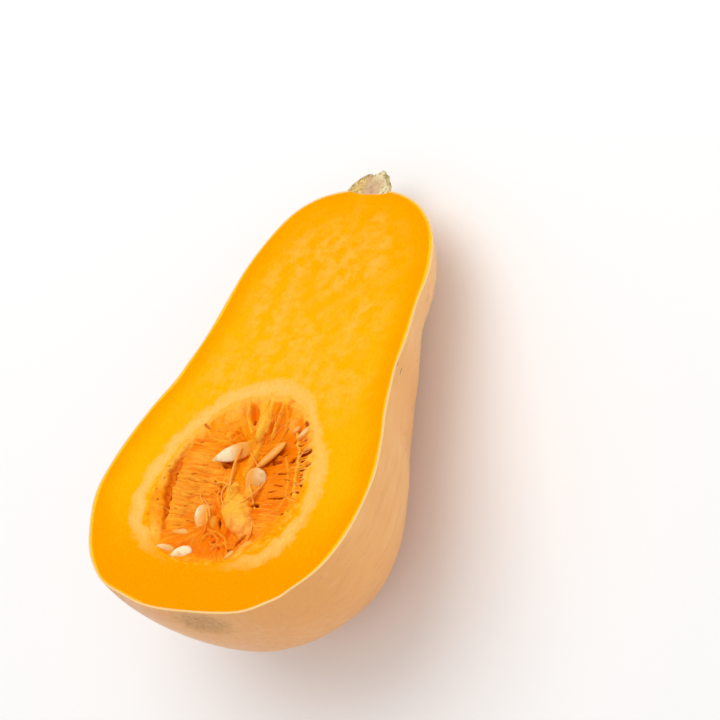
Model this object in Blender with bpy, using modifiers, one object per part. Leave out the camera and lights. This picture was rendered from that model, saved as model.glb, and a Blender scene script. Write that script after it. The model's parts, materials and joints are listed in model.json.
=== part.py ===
"""Half of a butternut squash, cut lengthwise and lying on its rounded back.

The squash is modelled in its own frame first: X runs from the blossom end to the stem,
the knife's plane is Z = 0 and the kept half lies below it. An empty then lays the half
down as it rests on a table: on the bulb's back and on the back of the neck.
Lengths are in metres.
"""

import math
import random

import bmesh
import bpy
import numpy as np
from mathutils import Matrix, Vector

# Whole squash, as (station from the blossom end, radius of the round section there)
OUTLINE = (
    (0.0000, 0.0000),
    (0.0012, 0.0225),
    (0.0060, 0.0365),
    (0.0130, 0.0494),
    (0.0300, 0.0625),
    (0.0570, 0.0699),
    (0.0860, 0.0658),
    (0.1150, 0.0565),
    (0.1450, 0.0517),
    (0.1720, 0.0496),
    (0.1920, 0.0443),
    (0.2050, 0.0361),
    (0.2130, 0.0247),
    (0.2166, 0.0110),
    (0.2172, 0.0000),
)
LENGTH = OUTLINE[-1][0]
STEPS_PER_SPAN = 3
SIDES = 40

# The axis wanders sideways, as (station, Y)
SIDEWAYS = (
    (0.000, -0.0065),
    (0.015, -0.0015),
    (0.057, 0.0000),
    (0.096, -0.0010),
    (0.118, -0.0035),
    (0.150, -0.0054),
    (0.190, -0.0063),
    (LENGTH, -0.0048),
)
# The knife leaves more than half of the bulb and less than half of the neck. This is how far
# the axis lies under the cut, as (station, share of the radius there)
UNDER_CUT = ((0.0, 0.05), (0.054, 0.13), (0.108, 0.10), (0.163, -0.156), (LENGTH, -0.34))

# How the half lies: turned about Y so that the neck's back meets the table too
REST_TILT = math.radians(20.2)
REST_X = -0.0643
REST_LIFT = 0.0973

# Boxes that take away what the knife cut off, over Z = 0 of the squash, and what would be under
# the level table
KNIFE_BOX = (0.4, 0.3, 0.2)
TABLE_BOX = (0.6, 0.3, 0.1)

RIND = 0.0018
# Touching pieces keep this much air
GAP = 0.0003
# The shortest edge that a Screw's axis may close up
WELD = 0.00001

# Seed cavity: an ellipsoid round the squash's axis
CAVITY_CENTRE = Vector((0.0645, 0.0015, -0.009))
CAVITY_RADII = Vector((0.043, 0.039, 0.0405))
CAVITY_SIDES = 40
CAVITY_RINGS = 20

# Pulp surface, measured down from the cut
PULP_RIM_DEPTH = 0.0012
PULP_MIDDLE_DEPTH = 0.0065
PULP_RIDGES = 20
PULP_RIDGE_HEIGHT = 0.0008
# The ridges fade out towards the middle, between these shares of the cavity's radius
RIDGES_FADE = (0.15, 0.5)
# A gutter along the rim, on the side of -Y, at a share of the cavity's radius
GUTTER_DEPTH = 0.0045
GUTTER_RADIUS = 0.84
GUTTER_WIDTH = 0.09
# Smooth lobes of pulp, as (x, y, radius, height)
LOBES = ((0.050, -0.006, 0.011, 0.0038), (0.088, 0.006, 0.009, 0.0030))

STRANDS = 32
STRAND_RADIUS = 0.0008
STRAND_SINK = 0.0006
STRAND_POINTS = 6
STRAND_TOP = -0.0014
# Each strand starts here and ends in this range, in shares of the cavity's radius
STRAND_START = 0.92
STRAND_END = (0.30, 0.55)
STRAND_RISE = (0.0006, 0.0022)
STRAND_WANDER = math.radians(12.0)
STRAND_SEED = 11

# Seeds that show, as (x, y, turn about the cut's normal, roll on the long axis, nose up), degrees
SEED_LENGTH = 0.0158
SEED_WIDTH = 0.0088
SEED_THICKNESS = 0.0034
SEED_LIFT = 0.0008
SEED_TOP = -0.0004
# How much slimmer the pointed end is
SEED_TAPER = 0.38
SEEDS = (
    (0.0779, 0.0085, 125, 15, 6),
    (0.0800, -0.0015, 131, 60, -12),
    (0.0765, -0.0139, 145, 72, 3),
    (0.0626, -0.0124, 167, 12, -8),
    (0.0432, 0.0105, 215, 35, 8),
    (0.0378, 0.0130, 94, 66, -18),
    (0.0345, 0.0165, 99, 25, 24),
    (0.0325, 0.0070, 103, 14, 18),
    (0.0855, -0.0205, 128, 70, -20),
    (0.0365, -0.0100, 216, 66, 18),
)

# Stem stub, as (height over the stem end, radius)
STEM_PROFILE = (
    (-0.0040, 0.0124),
    (0.0005, 0.0118),
    (0.0025, 0.0104),
    (0.0048, 0.0086),
    (0.0070, 0.0072),
    (0.0090, 0.0064),
    (0.0098, 0.0048),
)
STEM_SIDES = 30
STEM_RIDGES = 5
STEM_RIDGE_SHARE = 0.10
STEM_CENTRE_Y = -0.0068
STEM_CENTRE_Z = -0.0035
# The broken top is uneven
STEM_BREAK = 0.0014
STEM_BREAK_FROM = 0.006

SKIN_TAN = (0.71, 0.40, 0.17, 1.0)
FLESH_ORANGE = (0.95, 0.42, 0.02, 1.0)
PULP_ORANGE = (0.86, 0.24, 0.03, 1.0)
SEED_CREAM = (0.84, 0.68, 0.42, 1.0)
STEM_STRAW = (0.47, 0.35, 0.18, 1.0)


def clear_scene():
    for obj in list(bpy.data.objects):
        bpy.data.objects.remove(obj, do_unlink=True)


def new_collection(name):
    collection = bpy.data.collections.new(name)
    bpy.context.scene.collection.children.link(collection)
    return collection


def new_material(name, colour, roughness):
    material = bpy.data.materials.new(name)
    material.use_nodes = True
    shader = material.node_tree.nodes["Principled BSDF"]
    shader.inputs["Base Color"].default_value = colour
    shader.inputs["Roughness"].default_value = roughness
    shader.inputs["Metallic"].default_value = 0.0
    return material


def new_object(name, mesh, collection):
    obj = bpy.data.objects.new(name, mesh)
    collection.objects.link(obj)
    return obj


def make_cutter(obj):
    obj.hide_render = True
    obj.display_type = "WIRE"
    return obj


def add_boolean(obj, operation, cutter):
    modifier = obj.modifiers.new(f"{operation.lower()}_{cutter.name}", "BOOLEAN")
    modifier.operation = operation
    modifier.solver = "EXACT"
    modifier.object = cutter


def evaluated_mesh(obj):
    graph = bpy.context.evaluated_depsgraph_get()
    return bpy.data.meshes.new_from_object(obj.evaluated_get(graph))


def smooth_step(low, high, value):
    t = min(max((value - low) / (high - low), 0.0), 1.0)
    return t * t * (3.0 - 2.0 * t)


def through_points(points, steps):
    """Points along a smooth curve through the given ones, with both ends square to the X axis."""
    first = (points[1][0], -points[1][1])
    last = (points[-2][0], -points[-2][1])
    padded = [Vector(p) for p in (first, *points, last)]
    curve = []
    for before, start, end, after in zip(padded, padded[1:], padded[2:], padded[3:]):
        for step in range(steps):
            t = step / steps
            curve.append(
                0.5
                * (
                    2.0 * start
                    + (end - before) * t
                    + (2.0 * before - 5.0 * start + 4.0 * end - after) * t * t
                    + (3.0 * start - before - 3.0 * end + after) * t * t * t
                )
            )
    curve.append(Vector(points[-1]))
    return curve


def outline_inset(inset):
    """The squash's outline moved inwards by inset, from the blossom end to the stem end."""
    curve = through_points(OUTLINE, STEPS_PER_SPAN)
    moved = [Vector((inset, 0.0))]
    for before, point, after in zip(curve, curve[1:], curve[2:]):
        along = (after - before).normalized()
        moved.append(point + Vector((along.y, -along.x)) * inset)
    moved.append(Vector((LENGTH - inset, 0.0)))
    return moved


def radius_at(station):
    curve = through_points(OUTLINE, STEPS_PER_SPAN)
    return float(np.interp(station, [p.x for p in curve], [p.y for p in curve]))


def value_at(table, station):
    """A value between the table's rows, eased so that the axis has no kinks."""
    for (low, first), (high, second) in zip(table, table[1:]):
        if station <= high:
            return first + (second - first) * smooth_step(low, high, station)
    return table[-1][1]


def bend_axis(mesh):
    """Moves each ring of a straight turned body to where the real squash has it."""
    for vertex in mesh.vertices:
        station = vertex.co.x
        vertex.co.y += value_at(SIDEWAYS, station)
        vertex.co.z -= value_at(UNDER_CUT, station) * radius_at(station)


def turned_body(name, inset, collection):
    """The whole squash, smaller by inset all round: a Screw of its outline, then bent."""
    curve = list(reversed(outline_inset(inset)))
    mesh = bpy.data.meshes.new(name)
    edges = [(i, i + 1) for i in range(len(curve) - 1)]
    mesh.from_pydata([(p.y, 0.0, p.x) for p in curve], edges, [])
    profile = new_object(f"{name}_profile", mesh, collection)
    screw = profile.modifiers.new("turn", "SCREW")
    screw.axis = "Z"
    screw.angle = math.tau
    screw.steps = screw.render_steps = SIDES
    screw.use_merge_vertices = True
    screw.merge_threshold = WELD
    body_mesh = evaluated_mesh(profile)
    bpy.data.objects.remove(profile, do_unlink=True)
    body_mesh.transform(Matrix.Rotation(math.pi / 2, 4, "Y"))
    bend_axis(body_mesh)
    body_mesh.shade_smooth()
    return new_object(name, body_mesh, collection)


def cutter_box(name, centre, size, collection):
    """A box that takes away what it holds."""
    bpy.ops.mesh.primitive_cube_add(size=1.0)
    box = bpy.context.active_object
    box.name = name
    box.data.transform(Matrix.Translation(centre) @ Matrix.Diagonal((*size, 1.0)))
    for holder in list(box.users_collection):
        holder.objects.unlink(box)
    collection.objects.link(box)
    return make_cutter(box)


def make_rind(parts, cutters, knife, table):
    """The hard skin: the squash's outside less a body that is a rind smaller."""
    rind = turned_body("rind", 0.0, parts)
    inside = make_cutter(turned_body("inside_of_rind", RIND, cutters))
    for cutter in (inside, knife, table):
        add_boolean(rind, "DIFFERENCE", cutter)
    rind.data.materials.append(new_material("tan_skin", SKIN_TAN, 0.42))
    return rind, inside


def cavity_ball(name, shrink, collection):
    mesh = bpy.data.meshes.new(name)
    ball = bmesh.new()
    bmesh.ops.create_uvsphere(ball, u_segments=CAVITY_SIDES, v_segments=CAVITY_RINGS, radius=1.0)
    radii = CAVITY_RADII - Vector((shrink, shrink, shrink))
    ball.transform(Matrix.Translation(CAVITY_CENTRE) @ Matrix.Diagonal((*radii, 1.0)))
    ball.to_mesh(mesh)
    ball.free()
    return new_object(name, mesh, collection)


def make_flesh(parts, cutters, knife):
    """The orange flesh, with the bowl that holds the seeds."""
    flesh = turned_body("flesh", RIND + GAP, parts)
    cavity = make_cutter(cavity_ball("cavity", 0.0, cutters))
    for cutter in (knife, cavity):
        add_boolean(flesh, "DIFFERENCE", cutter)
    flesh.data.materials.append(new_material("orange_flesh", FLESH_ORANGE, 0.38))
    return flesh, cavity


def pulp_height(x, y):
    """Height of the pulp's surface over the point (x, y) of the cut, from 0 down."""
    across = (x - CAVITY_CENTRE.x) / CAVITY_RADII.x
    aside = (y - CAVITY_CENTRE.y) / CAVITY_RADII.y
    out = min(math.hypot(across, aside), 1.0)
    angle = math.atan2(aside, across)
    height = -PULP_RIM_DEPTH - (PULP_MIDDLE_DEPTH - PULP_RIM_DEPTH) * (1.0 - out * out)
    height += PULP_RIDGE_HEIGHT * math.cos(PULP_RIDGES * angle) * smooth_step(*RIDGES_FADE, out)
    from_gutter = (out - GUTTER_RADIUS) / GUTTER_WIDTH
    height -= GUTTER_DEPTH * max(0.0, -math.sin(angle)) * math.exp(-from_gutter * from_gutter)
    for lobe_x, lobe_y, radius, rise in LOBES:
        away = math.hypot(x - lobe_x, y - lobe_y) / radius
        height += rise * math.exp(-away * away)
    return height


def pulp_bed(collection):
    """What fills the cavity: its own ellipsoid, with the top brought down to the pulp's surface."""
    bed = cavity_ball("seed_pulp", GAP, collection)
    for vertex in bed.data.vertices:
        vertex.co.z = min(vertex.co.z, pulp_height(vertex.co.x, vertex.co.y))
    return bed


def strand_path(turn, rise, reach, wander):
    """Points from the cavity's rim towards its middle, just over the pulp's surface."""
    path = []
    for step in range(STRAND_POINTS):
        t = step / (STRAND_POINTS - 1)
        out = STRAND_START + (reach - STRAND_START) * t
        angle = turn + wander * math.sin(math.pi * t)
        x = CAVITY_CENTRE.x + CAVITY_RADII.x * out * math.cos(angle)
        y = CAVITY_CENTRE.y + CAVITY_RADII.y * out * math.sin(angle)
        over = rise * math.sin(math.pi * t) - STRAND_SINK
        path.append((x, y, min(pulp_height(x, y) + over, STRAND_TOP)))
    return path


def make_strand(name, path, collection):
    curve = bpy.data.curves.new(name, "CURVE")
    curve.dimensions = "3D"
    curve.bevel_depth = STRAND_RADIUS
    curve.bevel_resolution = 0
    curve.use_fill_caps = True
    spline = curve.splines.new("POLY")
    spline.points.add(len(path) - 1)
    for point, place in zip(spline.points, path):
        point.co = (*place, 1.0)
    tube = new_object(name, curve, collection)
    mesh = evaluated_mesh(tube)
    bpy.data.objects.remove(tube, do_unlink=True)
    welded = bmesh.new()
    welded.from_mesh(mesh)
    bmesh.ops.remove_doubles(welded, verts=welded.verts, dist=WELD)
    welded.to_mesh(mesh)
    welded.free()
    new_object(name, mesh, collection)


def make_strands(collection):
    draw = random.Random(STRAND_SEED)
    for number in range(STRANDS):
        turn = math.tau * (number + draw.uniform(-0.35, 0.35)) / STRANDS
        rise = draw.uniform(*STRAND_RISE)
        reach = draw.uniform(*STRAND_END)
        wander = draw.uniform(-STRAND_WANDER, STRAND_WANDER)
        make_strand(f"strand_{number}", strand_path(turn, rise, reach, wander), collection)


def seed_mesh():
    """A flat pip with one pointed end, lying along X."""
    mesh = bpy.data.meshes.new("seed")
    pip = bmesh.new()
    bmesh.ops.create_uvsphere(pip, u_segments=12, v_segments=6, radius=1.0)
    bmesh.ops.rotate(pip, verts=pip.verts, matrix=Matrix.Rotation(math.pi / 2, 3, "Y"))
    for vertex in pip.verts:
        slim = 1.0 - SEED_TAPER * max(vertex.co.x, 0.0) ** 2
        vertex.co.y *= slim
        vertex.co.z *= slim
    pip.transform(Matrix.Diagonal((SEED_LENGTH / 2, SEED_WIDTH / 2, SEED_THICKNESS / 2, 1.0)))
    pip.to_mesh(mesh)
    pip.free()
    return mesh


def make_seeds(collection, material):
    """The seeds, half sunk in the pulp and none of them over the knife's plane."""
    mesh = seed_mesh()
    mesh.materials.append(material)
    for number, (x, y, turn, roll, nose) in enumerate(SEEDS):
        turned = (
            Matrix.Rotation(math.radians(turn), 4, "Z")
            @ Matrix.Rotation(math.radians(-nose), 4, "Y")
            @ Matrix.Rotation(math.radians(roll), 4, "X")
        )
        stand = 0.25 * SEED_WIDTH * abs(math.sin(math.radians(roll)))
        top = max((turned @ vertex.co).z for vertex in mesh.vertices)
        height = min(pulp_height(x, y) + SEED_LIFT + stand, SEED_TOP - top)
        pip = new_object(f"seed_{number}", mesh, collection)
        pip.matrix_world = Matrix.Translation((x, y, height)) @ turned


def make_pulp(parts):
    """The stringy pulp and the seeds that grow in it, joined in one body."""
    repeats = new_collection("pulp_repeats")
    bed = pulp_bed(parts)
    bed.data.materials.append(new_material("pulp", PULP_ORANGE, 0.4))
    make_strands(repeats)
    make_seeds(repeats, new_material("seed_coat", SEED_CREAM, 0.35))
    join = bed.modifiers.new("join_repeats", "BOOLEAN")
    join.operation = "UNION"
    join.operand_type = "COLLECTION"
    join.collection = repeats
    join.solver = "EXACT"
    join.use_self = True
    joined = evaluated_mesh(bed)
    bed.modifiers.clear()
    bed.data = joined
    for obj in list(repeats.objects):
        bpy.data.objects.remove(obj, do_unlink=True)
    bpy.data.collections.remove(repeats)
    return bed


def make_stem(parts, cutters, knife):
    """The corky stub of the stem: five ridges, a flared foot and a broken top, halved by the knife."""
    mesh = bpy.data.meshes.new("stem_profile")
    bottom = STEM_PROFILE[0][0]
    top = STEM_PROFILE[-1][0]
    points = [(0.0, top), *((r, h) for h, r in reversed(STEM_PROFILE)), (0.0, bottom)]
    mesh.from_pydata([(r, 0.0, h) for r, h in points], [(i, i + 1) for i in range(len(points) - 1)], [])
    profile = new_object("stem_profile", mesh, parts)
    screw = profile.modifiers.new("turn", "SCREW")
    screw.axis = "Z"
    screw.steps = screw.render_steps = STEM_SIDES
    screw.use_merge_vertices = True
    screw.merge_threshold = WELD
    stub = evaluated_mesh(profile)
    bpy.data.objects.remove(profile, do_unlink=True)
    for vertex in stub.vertices:
        angle = math.atan2(vertex.co.y, vertex.co.x)
        ridged = 1.0 + STEM_RIDGE_SHARE * math.cos(STEM_RIDGES * angle)
        broken = smooth_step(STEM_BREAK_FROM, top, vertex.co.z) * math.sin(2.0 * angle)
        vertex.co.x *= ridged
        vertex.co.y *= ridged
        vertex.co.z += STEM_BREAK * broken
    stub.transform(
        Matrix.Translation((LENGTH, STEM_CENTRE_Y, STEM_CENTRE_Z))
        @ Matrix.Rotation(math.pi / 2, 4, "Y")
    )
    stem = new_object("stem", stub, parts)
    seat = make_cutter(turned_body("stem_seat", -GAP, cutters))
    for cutter in (seat, knife):
        add_boolean(stem, "DIFFERENCE", cutter)
    stem.data.materials.append(new_material("corky_stem", STEM_STRAW, 0.8))
    return stem, seat


def lay_down(objects):
    """Lays the squash frame on the table by parenting it to one turned empty."""
    rest = bpy.data.objects.new("rest_pose", None)
    bpy.context.scene.collection.objects.link(rest)
    rest.location = (REST_X, 0.0, REST_LIFT)
    rest.rotation_euler = (0.0, REST_TILT, 0.0)
    for obj in objects:
        obj.parent = rest


def main():
    clear_scene()
    parts = new_collection("butternut_squash_half")
    cutters = new_collection("cutters")
    knife = cutter_box("knife", (LENGTH / 2, 0.0, KNIFE_BOX[2] / 2), KNIFE_BOX, cutters)
    table = cutter_box("table", (0.0, 0.0, -TABLE_BOX[2] / 2), TABLE_BOX, cutters)
    rind, inside = make_rind(parts, cutters, knife, table)
    flesh, cavity = make_flesh(parts, cutters, knife)
    pulp = make_pulp(parts)
    stem, seat = make_stem(parts, cutters, knife)
    lay_down((rind, flesh, pulp, stem, knife, inside, cavity, seat))


main()
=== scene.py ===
"""Looks of half a butternut squash, cut lengthwise and lying on its rounded back.

Every piece is shaped in the squash's own frame, in millimetres: X runs from the blossom end to the
stem, the knife's plane is Z = 0 and the kept half lies below it. Its last step lays it on the table.
"""

import math
import random
from functools import cached_property

import bmesh
import bpy
import numpy as np
from mathutils import Matrix, Vector, noise
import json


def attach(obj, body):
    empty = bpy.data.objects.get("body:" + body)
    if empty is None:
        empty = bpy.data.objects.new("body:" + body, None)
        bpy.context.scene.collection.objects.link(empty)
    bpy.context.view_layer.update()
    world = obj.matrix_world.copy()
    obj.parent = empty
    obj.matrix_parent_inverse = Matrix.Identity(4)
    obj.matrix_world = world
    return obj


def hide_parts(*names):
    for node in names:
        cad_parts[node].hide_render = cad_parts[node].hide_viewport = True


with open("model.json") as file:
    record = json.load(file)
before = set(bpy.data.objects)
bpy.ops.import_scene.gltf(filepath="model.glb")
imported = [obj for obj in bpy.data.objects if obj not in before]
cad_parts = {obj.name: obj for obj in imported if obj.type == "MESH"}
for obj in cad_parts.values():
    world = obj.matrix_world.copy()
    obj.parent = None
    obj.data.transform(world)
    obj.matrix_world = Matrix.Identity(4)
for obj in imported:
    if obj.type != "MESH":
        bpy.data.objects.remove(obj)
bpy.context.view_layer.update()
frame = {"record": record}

# The rind: the squash's hard, waxy skin, about a millimetre thick where the knife went
# through it. It grew round the fruit, so it is one shell, turned from the squash's outline, bent
# and dented a little, and cut flat. It carries the dry scar of the blossom at its blunt end.

# Whole squash, as (station from the blossom end, radius of the round section there)
OUTLINE = (
    (0.0, 0.0), (1.2, 22.5), (6.0, 36.5), (13.0, 49.4), (30.0, 62.5), (57.0, 69.9), (86.0, 65.8),
    (115.0, 56.5), (145.0, 51.7), (172.0, 49.6), (192.0, 44.3), (205.0, 36.0), (212.7, 24.6),
    (216.3, 11.0), (216.9, 0.0),
)
LENGTH = OUTLINE[-1][0]
# The axis wanders sideways, as (station, Y), and the knife ran over it in the bulb and under it in
# the neck, as (station, share of the radius that the axis lies under the cut)
SIDEWAYS = (
    (0.0, -6.5), (15.0, -1.5), (57.0, 0.0), (96.0, -1.0), (118.0, -3.5), (150.0, -5.4), (190.0, -6.2),
    (LENGTH, -4.1),
)
UNDER_CUT = ((0.0, 0.05), (54.0, 0.13), (108.0, 0.1), (163.0, -0.156), (LENGTH, -0.34))
OUTLINE_STEPS = 24
RIND_THICKNESS = 0.9
RIND_SPACING = 1.7
RIND_SIDES = 128
SAME_PLACE = 0.001
# How far the grown squash is from an even round, and the sizes of its swellings, of the skin's broad and
# fine dents, and of the scar's crumbs
GROWN_UNEVEN = 0.9
GROWN_SIZE = 24.0
RIND_DENT = 0.1
BROAD_DENTS, FINE_DENTS = 26.0, 9.0
RIND_LOBES = 5
SCAR_CRUMBS = 2.2
RIND_EDGE = 0.22
RIND_EDGE_STEPS = 3
KNIFE_SNAP = 0.3
SHORTEST_CUT_EDGE = 0.35
SCAR = Vector((0.4, -7.5, -9.0))
SCAR_SQUASH = Vector((1.0, 0.58, 1.0))
SCAR_RADIUS = 9.0
SCAR_FADE = 7.0
SCAR_RELIEF = 0.25
MM = 0.001

# The cut face's mount says how the half lies: where a known point of the cut is, and its normal
cut_mount = next(mount for mount in frame["record"]["mounts"] if mount["name"] == "cut_face")
CUT_MOUNT_POINT = Vector((150.0, -4.5, 0.0))
TILT = math.atan2(cut_mount["axis"][0], cut_mount["axis"][2])
CUT_ORIGIN = Vector(cut_mount["pos_m"]) - Matrix.Rotation(TILT, 3, "Y") @ (CUT_MOUNT_POINT * MM)
LAID = Matrix.Translation(CUT_ORIGIN) @ Matrix.Rotation(TILT, 4, "Y") @ Matrix.Scale(MM, 4)


def smooth_step(low, high, value):
    t = np.clip((value - low) / (high - low), 0.0, 1.0)
    return t * t * (3.0 - 2.0 * t)


def value_at(table, station):
    """A value between the table's rows, eased so that the axis has no kinks."""
    for (low, first), (high, second) in zip(table, table[1:]):
        if station <= high:
            return first + (second - first) * float(smooth_step(low, high, station))
    return table[-1][1]


def smooth_curve(rows, counts):
    """Points on a smooth curve through all rows but the first and last, so many in each span."""
    spans = []
    for count, before, start, end, after in zip(counts, rows, rows[1:], rows[2:], rows[3:]):
        t = np.linspace(0.0, 1.0, count, endpoint=False)[:, None]
        cubic = 3.0 * start - before - 3.0 * end + after
        square = 2.0 * before - 5.0 * start + 4.0 * end - after
        spans.append(0.5 * (2.0 * start + (end - before) * t + square * t**2 + cubic * t**3))
    return np.vstack([*spans, rows[-2]])


def dense_outline():
    """Points close together along a smooth curve through the outline, its ends square to X."""
    first = (OUTLINE[1][0], -OUTLINE[1][1])
    last = (OUTLINE[-2][0], -OUTLINE[-2][1])
    return smooth_curve(np.array([first, *OUTLINE, last]), [OUTLINE_STEPS] * len(OUTLINE))


outline_points = dense_outline()


def table_value(table, at, column=1):
    """A value read from a column of a table at a place of its first column, straight between the rows."""
    rows = np.asarray(table)
    return np.interp(at, rows[:, 0], rows[:, column])


def radius_at(station):
    return float(table_value(outline_points, station))


def axis_depth(station):
    """How deep the squash's axis lies under the cut at that station."""
    return value_at(UNDER_CUT, station) * radius_at(station)


def turned_body(inset, spacing, sides):
    """The whole squash, smaller by inset all round, turned about its axis and then bent."""
    travelled = np.insert(np.cumsum(np.hypot(*np.diff(outline_points, axis=0).T)), 0, 0.0)
    marks = np.linspace(0.0, travelled[-1], round(travelled[-1] / spacing) + 1)
    curve = np.column_stack([np.interp(marks, travelled, outline_points[:, k]) for k in (0, 1)])
    along = np.gradient(curve, axis=0)
    along /= np.linalg.norm(along, axis=1)[:, None]
    curve += np.column_stack([along[:, 1], -along[:, 0]]) * inset
    curve[[0, -1], 1] = 0.0
    body = bmesh.new()
    corners = [body.verts.new((x, radius, 0.0)) for x, radius in curve]
    for one, other in zip(corners, corners[1:]):
        body.edges.new((one, other))
    bmesh.ops.spin(
        body, geom=body.verts[:] + body.edges[:], axis=(1, 0, 0), angle=math.tau, steps=sides, use_merge=True
    )
    bmesh.ops.remove_doubles(body, verts=body.verts, dist=SAME_PLACE)
    for vertex in body.verts:
        station = vertex.co.x
        out = Vector((0.0, vertex.co.y, vertex.co.z)).normalized()
        vertex.co += out * GROWN_UNEVEN * (noise.noise(vertex.co / GROWN_SIZE) - 0.2)
        vertex.co.y += value_at(SIDEWAYS, station)
        vertex.co.z -= axis_depth(station)
    bmesh.ops.recalc_face_normals(body, faces=body.faces)
    return body


def open_edges(body):
    return [edge for edge in body.edges if edge.is_boundary]


def corners_of(rim):
    """The corners of a rim, each once and in their order round it, so that every run gives the same mesh."""
    corners = {vertex for edge in rim for vertex in edge.verts}
    return sorted(corners, key=lambda vertex: math.atan2(vertex.co.y, vertex.co.x - 0.5 * LENGTH))


def merge_near(body, corners, reach):
    """Goes once round a rim and merges each corner that is within reach of the last one kept."""
    kept, merged = corners[0], {}
    for vertex in corners[1:]:
        if (vertex.co - kept.co).length < reach:
            merged[vertex] = kept
        else:
            kept = vertex
    bmesh.ops.weld_verts(body, targetmap=merged)


def cut_flat(body):
    """Takes away what is over the knife's plane, and returns the edges of the opening."""
    bmesh.ops.bisect_plane(
        body,
        geom=body.verts[:] + body.edges[:] + body.faces[:],
        dist=KNIFE_SNAP,
        plane_co=(0, 0, 0),
        plane_no=(0, 0, 1),
        use_snap_center=True,
        clear_outer=True,
    )
    merge_near(body, corners_of(open_edges(body)), SHORTEST_CUT_EDGE)
    return open_edges(body)


def mesh_of(name, shape):
    mesh = bpy.data.meshes.new(name)
    shape.to_mesh(mesh)
    shape.free()
    return mesh


def take_in(whole, mesh):
    """Adds a mesh to a shape that has other parts already, and returns its points there."""
    before = len(whole.verts)
    whole.from_mesh(mesh)
    bpy.data.meshes.remove(mesh)
    whole.verts.ensure_lookup_table()
    return whole.verts[before:]


def put_in_scene(name, data):
    obj = bpy.data.objects.new(name, data)
    bpy.context.scene.collection.objects.link(obj)
    return obj


def lay_down(name, piece, material, sharp=40.0):
    """Puts a finished shape on the table as one object, in metres, and keeps it over the table top."""
    bmesh.ops.recalc_face_normals(piece, faces=piece.faces)
    piece.transform(LAID)
    for vertex in piece.verts:
        vertex.co.z = max(vertex.co.z, 0.0)
    mesh = mesh_of(name, piece)
    mesh.materials.append(material)
    mesh.shade_smooth()
    mesh.set_sharp_from_angle(angle=math.radians(sharp))
    obj = put_in_scene(name, mesh)
    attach(obj, "root")
    return obj


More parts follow.
